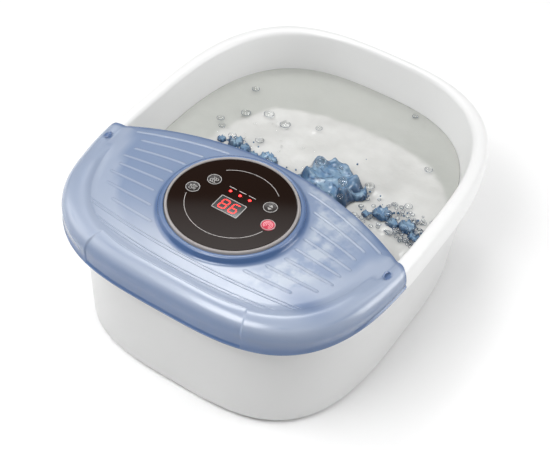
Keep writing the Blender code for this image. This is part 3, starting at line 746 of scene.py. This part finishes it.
def seven_segment(bm, digit, centre, low):
    """A digit read from the +Y side: its top points to -Y."""
    half_w, half_h, bar = DIGIT_WIDTH / 2, DIGIT_HEIGHT / 2, 0.0011
    ends = {
        "a": ((-1, 1), (1, 1)), "g": ((-1, 0), (1, 0)), "d": ((-1, -1), (1, -1)),
        "f": ((-1, 1), (-1, 0)), "b": ((1, 1), (1, 0)), "e": ((-1, 0), (-1, -1)), "c": ((1, 0), (1, -1)),
    }
    for name in SEGMENTS[digit]:
        points = [centre + Vector((-x * half_w - 0.1 * y * half_w, -y * half_h)) for x, y in ends[name]]
        along = (points[1] - points[0]).normalized() * bar * 0.62
        flat_bar(bm, points[0] + along, points[1] - along, bar, low, FRAME_HEIGHT)


# ---- things on the tub's floor


def roller(node):
    """A massage roller with three ribbed rings."""
    low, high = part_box(node)
    centre = box_middle(node)
    half = 0.5 * (high[0] - low[0])
    radius = 0.5 * (high[2] - low[2]) - 0.0001
    waist, bore, steps, ribs = 0.0095, 0.0032, 72, 12
    corners = [(bore, -half), (waist, -half)]
    for ring_centre in (-0.02, 0.0, 0.02):
        corners += [(waist, ring_centre - 0.008), (radius, ring_centre - 0.0034),
                    (radius, ring_centre + 0.0034), (waist, ring_centre + 0.008)]
    corners += [(waist, half), (bore, half)]
    profile = rounded_profile(corners, 0.0016)
    shaped = []
    for (reach, _), ring in zip(profile, turned_rows(profile, steps, centre, "X")):
        lift = max(0.0, (reach - waist) / (radius - waist))
        row = []
        for step, point in enumerate(ring):
            out = Vector((0.0, point.y - centre.y, point.z - centre.z))
            groove = 0.0011 * lift * (0.5 + 0.5 * math.cos(ribs * 2 * math.pi * step / steps))
            row.append(point - out.normalized() * groove)
        shaped.append(row)
    bm = bmesh.new()
    join_ends(bm, add_rows(bm, shaped))
    bmesh.ops.recalc_face_normals(bm, faces=bm.faces)
    return mesh_object(node + "_wheel", bm)


# ---- water


def water_wave(x, y):
    """Height of the water's surface over its level: long swells, livelier towards the cover."""
    lively = math.exp(-max(0.0, y + 0.02) / 0.06)
    place = Vector((x * 14, y * 14, 0.3))
    fine = Vector((x * 60, y * 60, 1.7))
    return 0.0016 * noise.noise(place) + (0.0008 + 0.003 * lively) * noise.noise(fine)


def water_surface():
    """A thin sheet at the filling level, from wall to wall. "depth" is 0 at the wall, where the water takes
    painted shade, and 1 out in the pool.
    """
    plan = mix(RIM_INNER, FLOOR_EDGE, (RIM_INNER_TOP - WATER_LEVEL) / WALL_DROP)
    rows = []
    for step in range(60):
        scale = 1 - step / 60
        calm = min(1.0, (1 - scale) * 12)
        ring = []
        for angle in ROUND_ANGLES:
            x, y = plan_point(plan, angle, 0.0004)
            x, y = x * scale, WIDEST_Y + (y - WIDEST_Y) * scale
            ring.append((x, y, WATER_LEVEL + water_wave(x, y) * calm))
        rows.append(ring)
    water = loft("water_surface", rows, last_cap=True)
    depth = []
    for vert in water.data.vertices:
        x, y, _ = vert.co
        broad, fine = Vector((x * 16, y * 16, 2.0)), Vector((x * 60, y * 60, 4.0))
        wander = 0.16 * noise.noise(broad) + 0.07 * noise.noise(fine)
        pool = 1.0 - abs((x - 0.028) / 0.135) ** 2.6 - abs((y + 0.01) / 0.142) ** 2.6
        depth.append(smooth_share(pool + wander, -0.04, 0.1))
    store(water.data, "depth", depth)
    return water


def add_splash(bm, edge, seed, x, y, radius, height):
    """A low heap of thrown-up water with a ragged outline and a torn crest, closed underneath."""
    rings, steps = 18, 96
    rows = []
    for ring in range(rings + 1):
        share = 1 - ring / rings
        row = []
        for angle in whole_turn(steps):
            spoke = Vector((math.cos(angle), math.sin(angle), seed))
            ragged = 1 + 0.2 * noise.noise(spoke * 1.6) + 0.13 * noise.noise(spoke * 5.0)
            px = x + radius * ragged * share * spoke.x
            py = y + 0.9 * radius * ragged * share * spoke.y
            torn = noise.noise(Vector((px * 85, py * 85, seed)))
            fine = noise.noise(Vector((px * 260, py * 260, seed + 3)))
            crest = math.exp(-((share - 0.78) / 0.14) ** 2) * (0.35 + 0.9 * noise.noise(spoke * 3.2))
            body = math.sqrt(max(0.0, 1 - share ** 4)) * (0.5 + 0.22 * torn)
            rise = height * (body + 0.75 * crest) + 0.0009 * fine * (1 - share ** 6)
            row.append((px, py, WATER_LEVEL + 0.0004 + max(0.0, rise) * (1 - share ** 8)))
            # Painted shade: darker towards the rim and along the torn cracks.
            edge.append(min(1.0, smooth_share(share, 0.62, 1.0) + 0.9 * smooth_share(0.07 - abs(torn), 0.0, 0.07)))
        rows.append(row)
    made = add_rows(bm, rows)
    bm.faces.new(made[-1])
    bm.faces.new(list(reversed(made[0])))


def water_splashes():
    """The splashes behind the cover, where the air comes up. "edge" is 1 where painted shade darkens the water:
    towards the heaps' rims and in the torn cracks; the droplets get half.
    """
    bm = bmesh.new()
    edge = []
    heaps = [  # (x, y, radius, height)
        (0.033, 0.032, 0.034, 0.025), (0.012, 0.016, 0.018, 0.014), (0.063, 0.04, 0.011, 0.009),
        (-0.079, 0.03, 0.0085, 0.009), (-0.066, 0.028, 0.0065, 0.006), (-0.037, 0.027, 0.011, 0.009),
        (-0.052, 0.023, 0.006, 0.005), (-0.02, 0.018, 0.0085, 0.007), (-0.094, 0.026, 0.005, 0.005),
        (0.097, 0.03, 0.0105, 0.007), (0.112, 0.024, 0.007, 0.006), (0.126, 0.028, 0.0095, 0.007),
        (0.138, 0.02, 0.007, 0.006), (0.084, 0.02, 0.005, 0.004),
    ]
    for number, heap in enumerate(heaps):
        add_splash(bm, edge, 2.0 + 5.0 * number, *heap)
    rng = random.Random(11)
    for _ in range(60):
        x, y, radius, _ = rng.choice(heaps)
        angle, reach = rng.uniform(0, 2 * math.pi), radius * rng.uniform(0.9, 1.7)
        size = rng.uniform(0.0006, 0.0015)
        drop = Matrix.Translation((x + reach * math.cos(angle), y + reach * math.sin(angle),
                                   WATER_LEVEL + rng.uniform(0.001, 0.01)))
        made = bmesh.ops.create_icosphere(bm, subdivisions=1, radius=size, matrix=drop)
        edge.extend([0.5] * len(made["verts"]))
    splashes = mesh_object("water_splashes", bm, 180)
    store(splashes.data, "edge", edge)
    return splashes


def bubble_mesh(name, bubbles):
    bm = bmesh.new()
    for x, y, z, radius in bubbles:
        place = Matrix.Translation((x, y, z)) @ Matrix.Diagonal((1.0, 1.0, 0.86, 1.0))
        bmesh.ops.create_icosphere(bm, subdivisions=3 if radius > 0.0024 else 2, radius=radius, matrix=place)
    return mesh_object(name, bm, 180)


LINE_RADIUS = 0.00019


def bubble_lines(bubbles):
    """The thin waterline round each bubble, dark with painted shade for the dark outline that a bubble shows."""
    bm = bmesh.new()
    for x, y, z, radius in bubbles:
        profile = [(0.99 * radius + LINE_RADIUS * math.cos(turn), LINE_RADIUS * math.sin(turn))
                   for turn in [*whole_turn(5), 0.0]]
        add_rows(bm, turned_rows(profile, 16, (x, y, z + 0.25 * radius)))
    bmesh.ops.remove_doubles(bm, verts=bm.verts, dist=1e-7)
    lines = mesh_object("bubble_lines", bm, 180)
    # Painted shade: the rings take the splashes' dark blue.
    store(lines.data, "edge", [0.9] * len(lines.data.vertices))
    return lines


def water_bubbles():
    """Air bubbles: a few large ones out in the pool, and a crowd of small ones along the cover's right end."""
    afloat = [  # (x, y, radius)
        (-0.110, 0.114, 0.0042), (-0.096, 0.074, 0.0050), (-0.075, 0.087, 0.0056), (-0.052, 0.083, 0.0056),
        (0.105, 0.113, 0.0042), (0.068, 0.055, 0.0050), (-0.060, 0.046, 0.0046), (-0.113, 0.051, 0.0040),
        (-0.105, 0.042, 0.0034), (0.053, 0.180, 0.0030), (0.114, 0.053, 0.0040), (-0.020, 0.100, 0.0036),
    ]
    bubbles = [(x, y, WATER_LEVEL + 0.0022, radius) for x, y, radius in afloat]
    on_splashes = [  # (x, y, height over the water, radius)
        (0.017, 0.041, 0.017, 0.0060), (0.049, 0.031, 0.017, 0.0050), (-0.031, 0.016, 0.010, 0.0052),
        (-0.083, 0.029, 0.009, 0.0042), (0.104, 0.028, 0.007, 0.0040), (0.140, 0.024, 0.007, 0.0042),
        (0.056, 0.014, 0.014, 0.0032), (0.036, 0.052, 0.012, 0.0028),
    ]
    bubbles += [(x, y, WATER_LEVEL + rise, radius) for x, y, rise, radius in on_splashes]
    rng = random.Random(5)
    foam = []
    for _ in range(105):
        x = 0.066 + 0.08 * math.sqrt(rng.random())
        y = 0.006 + rng.random() ** 1.3 * 0.044
        foam.append((x, y, WATER_LEVEL + rng.uniform(0.001, 0.004), rng.uniform(0.0009, 0.0028)))
    small = []
    for _ in range(34):
        x, y = rng.uniform(-0.105, 0.0), rng.uniform(0.03, 0.085)
        small.append((x, y, WATER_LEVEL + 0.0008, rng.uniform(0.0006, 0.0016)))
    return bubble_mesh("water_bubbles", bubbles + small + foam), bubble_lines(bubbles + foam)


# ---- materials


def node_material(name, values=None):
    """A material, its node tree and its shader, with the given values on the shader's own sockets."""
    material = bpy.data.materials.new(name)
    material.use_nodes = True
    shader = material.node_tree.nodes["Principled BSDF"]
    for socket, value in (values or {}).items():
        shader.inputs[socket].default_value = value
    return material, material.node_tree, shader


def link(tree, source, target):
    tree.links.new(source, target)


def grain(tree, scale, detail=2.0):
    """The value of a noise texture in object space."""
    place = tree.nodes.new("ShaderNodeTexCoord")
    texture = tree.nodes.new("ShaderNodeTexNoise")
    texture.inputs["Scale"].default_value = scale
    texture.inputs["Detail"].default_value = detail
    link(tree, place.outputs["Object"], texture.inputs["Vector"])
    return texture.outputs["Fac"]


def spread(tree, source, low, high):
    ramp = tree.nodes.new("ShaderNodeMapRange")
    ramp.inputs["To Min"].default_value = low
    ramp.inputs["To Max"].default_value = high
    link(tree, source, ramp.inputs["Value"])
    return ramp.outputs["Result"]


def shades(tree, source, first, second, start=0.2, end=0.8):
    """A colour that runs from first to second as source goes from start to end."""
    node = tree.nodes.new("ShaderNodeValToRGB")
    for element, position, colour in zip(node.color_ramp.elements, (start, end), (first, second)):
        element.position = position
        element.color = (*colour, 1.0)
    link(tree, source, node.inputs["Fac"])
    return node.outputs["Color"]


def bumped(tree, shader, source, strength, distance):
    bump = tree.nodes.new("ShaderNodeBump")
    bump.inputs["Strength"].default_value = strength
    bump.inputs["Distance"].default_value = distance
    link(tree, source, bump.inputs["Height"])
    link(tree, bump.outputs["Normal"], shader.inputs["Normal"])


def moulded(name, colour, second, roughness, texture_scale, bump, **values):
    """Moulded plastic, rubber or metal: slight cloudiness of colour, uneven gloss and a fine grain."""
    sockets = {socket.replace("_", " "): value for socket, value in values.items()}
    material, tree, shader = node_material(name, {"Coat Roughness": 0.06, **sockets})
    cloud = grain(tree, 18.0, 4.0)
    link(tree, shades(tree, cloud, colour, second), shader.inputs["Base Color"])
    link(tree, spread(tree, cloud, *roughness), shader.inputs["Roughness"])
    bumped(tree, shader, grain(tree, texture_scale), bump, 0.0002)
    return material


def lit(name, colour, strength):
    """A red lamp or digit that shines."""
    material, tree, shader = node_material(
        name, {"Base Color": (0.3, 0.02, 0.02, 1.0), "Emission Strength": strength, "Roughness": 0.25})
    cloud = grain(tree, 400.0, 1.0)
    link(tree, shades(tree, cloud, colour, tuple(0.85 * c for c in colour)), shader.inputs["Emission Color"])
    return material


def attribute(tree, name):
    """A value kept by store()."""
    node = tree.nodes.new("ShaderNodeAttribute")
    node.attribute_name = name
    return node.outputs["Fac"]


def blended(tree, share, first, second):
    """A mix of two colours, each a tuple or a socket."""
    node = tree.nodes.new("ShaderNodeMix")
    node.data_type = "RGBA"
    link(tree, share, node.inputs["Factor"])
    for source, socket in ((first, node.inputs[6]), (second, node.inputs[7])):
        if isinstance(source, tuple):
            socket.default_value = (*source, 1.0)
        else:
            link(tree, source, socket)
    return node.outputs[2]


def product(tree, first, second):
    node = tree.nodes.new("ShaderNodeMath")
    node.operation = "MULTIPLY"
    link(tree, first, node.inputs[0])
    link(tree, second, node.inputs[1])
    return node.outputs[0]


def translucent_blue():
    """Tinted see-through plastic, with the colours that paint_cover() places, painted highlight, sheen and shade
    among them.
    """
    material, tree, shader = node_material("blue_cover", {
        "Roughness": 0.27, "Transmission Weight": 0.22, "IOR": 1.45, "Specular IOR Level": 0.6,
        "Coat Weight": 0.6, "Coat Roughness": 0.24, "Coat IOR": 1.5})
    colour = shades(tree, grain(tree, 26.0, 5.0), (0.215, 0.292, 0.45), (0.262, 0.34, 0.5), 0.0, 1.0)
    mist = shades(tree, grain(tree, 60.0, 8.0), (0.0, 0.0, 0.0), (0.8, 0.8, 0.8), 0.38, 0.6)
    colour = blended(tree, product(tree, mist, attribute(tree, "mist")), colour, (0.52, 0.58, 0.67))
    # Pale for the painted highlight and the white rim, paler for the painted sheen, deep blue for the deep blue
    # and painted shade.
    for name, second in (("highlight_and_white_rim", (0.4, 0.465, 0.595)), ("painted_sheen", (0.525, 0.575, 0.68)),
                         ("deep_blue_and_shade", (0.048, 0.124, 0.31))):
        colour = blended(tree, attribute(tree, name), colour, second)
    link(tree, colour, shader.inputs["Base Color"])
    bumped(tree, shader, grain(tree, 700.0), 0.03, 0.0002)
    return material


def water_material():
    """Stirred water: greenish and darker near the wall, partly its own green tint and partly painted shade, and
    pale with fine air out in the pool, with a rippled gloss.
    """
    material, tree, shader = node_material("water", {"Roughness": 0.04, "IOR": 1.33, "Transmission Weight": 0.15})
    # Near the wall: the water's green tint, darkened with painted shade.
    edge = shades(tree, grain(tree, 14.0, 3.0), (0.51, 0.52, 0.49), (0.56, 0.57, 0.54))
    pool = shades(tree, grain(tree, 20.0, 6.0), (0.62, 0.62, 0.6), (0.78, 0.78, 0.76), 0.3, 0.7)
    link(tree, blended(tree, attribute(tree, "depth"), edge, pool), shader.inputs["Base Color"])
    bumped(tree, shader, grain(tree, 38.0, 4.0), 0.3, 0.005)
    return material


def splash_material():
    """Water thrown up behind the cover: its blue is painted, the blue cover seen through the water."""
    material, tree, shader = node_material("splash", {
        "Roughness": 0.03, "IOR": 1.33, "Transmission Weight": 0.35, "Coat Weight": 1.0, "Coat Roughness": 0.02})
    clear = shades(tree, grain(tree, 110.0, 4.0), (0.13, 0.28, 0.49), (0.34, 0.51, 0.67), 0.35, 0.65)
    # Dark blue painted shade where the edge layer is high: the heaps' rims, cracks and the bubbles' waterlines.
    link(tree, blended(tree, attribute(tree, "edge"), clear, (0.02, 0.065, 0.16)), shader.inputs["Base Color"])
    bumped(tree, shader, grain(tree, 240.0), 0.5, 0.002)
    return material


def bubble_material():
    """The thin clear film of a bubble."""
    material, tree, shader = node_material("bubble_film", {
        "Roughness": 0.0, "IOR": 1.11, "Transmission Weight": 1.0, "Coat Weight": 1.0, "Coat Roughness": 0.0})
    film = shades(tree, grain(tree, 200.0, 1.0), (0.93, 0.95, 0.95), (1.0, 1.0, 1.0))
    link(tree, film, shader.inputs["Base Color"])
    return material


def painted(obj, material):
    obj.data.materials.clear()
    obj.data.materials.append(material)
    return obj


def repaint(node, material):
    """A CAD node keeps its shape and gets a better material."""
    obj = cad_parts[node]
    if not obj.material_slots:
        obj.data.materials.append(material)
    for slot in obj.material_slots:
        slot.material = material


# ---- put together


def place(obj, material, body="basin", replaces=(), slot=None):
    painted(obj, material)
    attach(obj, body)
    if replaces:
        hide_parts(*replaces)
    return obj


MOULDED = {  # name: two colours, roughness, scale of the grain, bump
    "white_tub": ((0.805, 0.807, 0.805), (0.795, 0.797, 0.795), (0.26, 0.32), 600.0, 0.03),
    # Same white plastic as the tub, made darker: painted shade on the shell.
    "white_shell_shaded": ((0.65, 0.652, 0.65), (0.64, 0.642, 0.64), (0.28, 0.34), 600.0, 0.03),
    "base_white": ((0.74, 0.74, 0.73), (0.7, 0.7, 0.69), (0.45, 0.6), 1400.0, 0.25),
    "bezel_silver": ((0.335, 0.315, 0.31), (0.305, 0.285, 0.28), (0.38, 0.46), 1500.0, 0.05),
    "smoked_panel": ((0.014, 0.007, 0.005), (0.012, 0.006, 0.004), (0.03, 0.05), 200.0, 0.0),
    "silver_print": ((0.42, 0.41, 0.4), (0.36, 0.35, 0.34), (0.35, 0.45), 1500.0, 0.03),
    "panel_print": ((0.5, 0.48, 0.47), (0.42, 0.4, 0.39), (0.4, 0.5), 1500.0, 0.02),
    "key_black": ((0.022, 0.018, 0.018), (0.03, 0.024, 0.022), (0.15, 0.25), 900.0, 0.02),
    "key_red": ((0.56, 0.035, 0.075), (0.46, 0.02, 0.05), (0.2, 0.3), 900.0, 0.02),
    "key_pink": ((0.85, 0.35, 0.4), (0.75, 0.28, 0.33), (0.3, 0.4), 900.0, 0.02),
    "display_lens": ((0.045, 0.05, 0.05), (0.035, 0.04, 0.04), (0.2, 0.26), 400.0, 0.01),
    "roller_blue": ((0.3, 0.44, 0.74), (0.26, 0.39, 0.68), (0.2, 0.3), 900.0, 0.04),
    "cradle_blue": ((0.55, 0.64, 0.8), (0.5, 0.59, 0.76), (0.3, 0.4), 900.0, 0.06),
    "black_rubber": ((0.03, 0.03, 0.031), (0.045, 0.045, 0.046), (0.65, 0.8), 1800.0, 0.35),
    "steel": ((0.58, 0.58, 0.6), (0.5, 0.5, 0.52), (0.2, 0.34), 1200.0, 0.08),
    "dark_nylon": ((0.055, 0.055, 0.06), (0.075, 0.075, 0.08), (0.45, 0.6), 1200.0, 0.15),
    "board_green": ((0.02, 0.16, 0.06), (0.03, 0.2, 0.08), (0.35, 0.5), 300.0, 0.1),
    "silicone": ((0.72, 0.75, 0.78), (0.66, 0.7, 0.73), (0.35, 0.5), 500.0, 0.05),
    "cast_aluminium": ((0.66, 0.67, 0.68), (0.58, 0.59, 0.6), (0.4, 0.6), 500.0, 0.3),
}
EXTRAS = {
    "key_black": {"Coat_Weight": 0.6}, "key_red": {"Coat_Weight": 0.6}, "roller_blue": {"Coat_Weight": 0.3},
    "steel": {"Metallic": 1.0}, "cast_aluminium": {"Metallic": 1.0},
    "silicone": {"Subsurface_Weight": 0.3, "Subsurface_Radius": (0.004, 0.005, 0.008), "Subsurface_Scale": 1.0},
}
REPAINTED = {  # CAD nodes that keep their shape
    "base_white": ["base_plate"],
    "cradle_blue": ["roller_cradle_left", "roller_cradle_right", "bubble_strip_left", "bubble_strip_right"],
    "black_rubber": [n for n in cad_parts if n.startswith("rubber_foot")] + ["panel_gasket", "power_inlet"],
    "steel": [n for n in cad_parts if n.startswith(("base_screw", "roller_axle"))]
    + ["vibration_motor", "eccentric_weight"],
    "board_green": ["control_board", "power_board"],
    "silicone": ["air_manifold", "air_hose"],
    "cast_aluminium": ["heater_plate"],
    "dark_nylon": [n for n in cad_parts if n.endswith(("_switch", "_lead"))]
    + ["display_module", "air_pump", "thermostat", "motor_clamp", "transformer", "panel_cable"],
}


def panel_lines():
    """Plain marks on the disc: two arcs, a bar over each lamp and a frame round the display."""
    bm = bmesh.new()
    for start, end, steps in ((198, 342, 90), (48, 132, 70)):
        flat_arc(bm, HEAD.xy, PRINT_ARC_RADIUS, start, end, 0.0005, PANEL_TOP, PRINT_HEIGHT, steps)
    for lamp in LAMPS:
        x, y = box_middle(lamp).xy
        flat_bar(bm, (x - 0.004, y + 0.0044), (x + 0.004, y + 0.0044), 0.0007, PANEL_TOP, PRINT_HEIGHT)
    low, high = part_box("display_window")
    corners = [(low[0], low[1]), (high[0], low[1]), (high[0], high[1]), (low[0], high[1])]
    for start, end in zip(corners, corners[1:] + corners[:1]):
        flat_bar(bm, start, end, 0.0006, PANEL_TOP, FRAME_HEIGHT)
    return flat_piece("panel_lines", bm)


def display_digits(middle, top):
    """Two digits on the display's lens."""
    bm = bmesh.new()
    for digit, shift in (("9", DIGIT_SHIFT), ("8", -DIGIT_SHIFT)):
        seven_segment(bm, digit, middle + Vector((shift, 0.0)), top)
    return flat_piece("digits", bm)


def build_pieces():
    paint = {name: moulded(name, *values, **EXTRAS.get(name, {})) for name, values in MOULDED.items()}
    white, silver = paint["white_tub"], paint["silver_print"]

    place(tub(), white, replaces=["inner_basin"], slot="white_plastic")
    place(control_column(), white, slot="white_plastic")
    place(housing_shell(), paint["white_shell_shaded"], replaces=["outer_shell"], slot="white_plastic")
    place(splash_guard(), translucent_blue(), "cover", ["splash_cover"], "blue_cover")
    place(bezel_ring(), paint["bezel_silver"], replaces=["panel_bezel"], slot="bezel_plastic")
    place(panel_disc(), paint["smoked_panel"], replaces=["control_panel"], slot="black_panel")

    for node in KEYS:
        cap, ring, centre = key_cap(node)
        red = node == "power_button"
        place(cap, paint["key_red" if red else "key_black"], node, [node], "red_button" if red else "black_button")
        place(ring, silver, node)
        bm = bmesh.new()
        ICONS[node](bm, centre)
        place(flat_piece(node + "_icon", bm), paint["key_pink"] if red else silver, node)

    place(panel_lines(), paint["panel_print"])
    low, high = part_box("display_window")
    middle = box_middle("display_window")
    window = box_piece("window_lens", middle, [b - a for a, b in zip(low, high)], 0.0002)
    place(window, paint["display_lens"], replaces=["display_window"], slot="red_lens")
    place(display_digits(middle.xy, high[2]), lit("digit_red", (1.0, 0.035, 0.03), 2.4))

    for side in ("left", "right"):
        for end in ("front", "rear"):
            node = f"massage_roller_{side}_{end}"
            place(roller(node), paint["roller_blue"], node, [node], "roller_plastic")

    for name, nodes in REPAINTED.items():
        for node in nodes:
            repaint(node, paint[name])
    lamp_red = lit("lamp_red", (1.0, 0.03, 0.03), 5.0)
    for lamp in LAMPS:
        repaint(lamp, lamp_red)

    place(water_surface(), water_material())
    splash = splash_material()
    place(water_splashes(), splash)
    bubbles, lines = water_bubbles()
    place(bubbles, bubble_material())
    place(lines, splash)


# ---- floor, light and camera


FLOOR_HALF_SIZE = 12.0


def build_stage():
    bm = bmesh.new()
    bmesh.ops.create_grid(bm, x_segments=1, y_segments=1, size=FLOOR_HALF_SIZE)
    floor = mesh_object("floor", bm)
    material, tree, shader = node_material("floor", {"Roughness": 0.9, "Specular IOR Level": 0.1})
    pale = shades(tree, grain(tree, 2.0), (0.97, 0.97, 0.97), (0.965, 0.965, 0.965))
    link(tree, pale, shader.inputs["Base Color"])
    painted(floor, material)


LIGHTS = [  # name, place, target, size, power
    ("key", (-1.5, -0.5, 1.0), (0.0, 0.0, 0.1), (1.2, 1.2), 10.5),
    ("fill", (1.0, 1.1, 1.5), (0.0, 0.0, 0.1), (0.8, 0.8), 3.0),
    ("right", (1.5, 0.7, 0.6), (0.0, 0.0, 0.1), (0.8, 0.8), 11.0),
    ("over", (-0.05, -0.55, 0.95), (0.0, 0.19, 0.1), (0.45, 0.45), 5.2),
    ("rear", (-0.47, 0.555, 1.448), (0.0, -0.15, 0.17), (0.5, 0.26), 4.2),
]
DOME_RIM = 0.704  # sine of the elevation where the dome overhead begins


def area_light(name, place, target, size, power):
    data = bpy.data.lights.new(name, "AREA")
    data.shape = "RECTANGLE"
    data.size, data.size_y = size
    data.energy = power
    light = bpy.data.objects.new(name, data)
    bpy.context.scene.collection.objects.link(light)
    light.location = place
    light.rotation_euler = (Vector(target) - Vector(place)).to_track_quat("-Z", "Y").to_euler()


def build_world():
    """A pale dome overhead with a clear rim, darker towards the horizon."""
    world = bpy.data.worlds.new("studio")
    bpy.context.scene.world = world
    world.use_nodes = True
    tree = world.node_tree
    place = tree.nodes.new("ShaderNodeTexCoord")
    parts = tree.nodes.new("ShaderNodeSeparateXYZ")
    link(tree, place.outputs["Generated"], parts.inputs["Vector"])
    ramp = tree.nodes.new("ShaderNodeValToRGB")
    stops = [(0.0, 0.3), (0.45, 0.18), (DOME_RIM - 0.003, 0.03), (DOME_RIM, 0.45), (DOME_RIM + 0.022, 1.0),
             (0.86, 0.85), (1.0, 0.4)]
    while len(ramp.color_ramp.elements) < len(stops):
        ramp.color_ramp.elements.new(0.5)
    for element, (position, level) in zip(ramp.color_ramp.elements, stops):
        element.position = position
        element.color = (level, level, level, 1.0)
    link(tree, parts.outputs["Z"], ramp.inputs["Fac"])
    background = tree.nodes["Background"]
    link(tree, ramp.outputs["Color"], background.inputs["Color"])
    background.inputs["Strength"].default_value = 1.0


def build_lights():
    build_world()
    for light in LIGHTS:
        area_light(*light)


CAMERA_AZIMUTH = math.radians(29.606)
CAMERA_ELEVATION = math.radians(45.5)
CAMERA_ROLL = math.radians(4.879)
CAMERA_DISTANCE = 1.20449
CAMERA_TARGET = Vector((0.00218, -0.01563, 0.08389))
CAMERA_LENS = 77.49


def build_camera():
    data = bpy.data.cameras.new("camera")
    data.lens = CAMERA_LENS
    data.sensor_width = 36.0
    data.sensor_fit = "HORIZONTAL"
    camera = bpy.data.objects.new("camera", data)
    bpy.context.scene.collection.objects.link(camera)
    flat = math.cos(CAMERA_ELEVATION)
    back = Vector((math.sin(CAMERA_AZIMUTH) * flat, -math.cos(CAMERA_AZIMUTH) * flat, math.sin(CAMERA_ELEVATION)))
    right = Vector((math.cos(CAMERA_AZIMUTH), math.sin(CAMERA_AZIMUTH), 0.0))
    up = back.cross(right)
    turn, lean = math.cos(CAMERA_ROLL), math.sin(CAMERA_ROLL)
    right, up = turn * right + lean * up, -lean * right + turn * up
    axes = Matrix((right, up, back)).transposed().to_4x4()
    camera.matrix_world = Matrix.Translation(CAMERA_TARGET + back * CAMERA_DISTANCE) @ axes
    bpy.context.scene.camera = camera


build_pieces()
build_stage()
build_lights()
build_camera()
bpy.context.scene.view_settings.view_transform = "Standard"
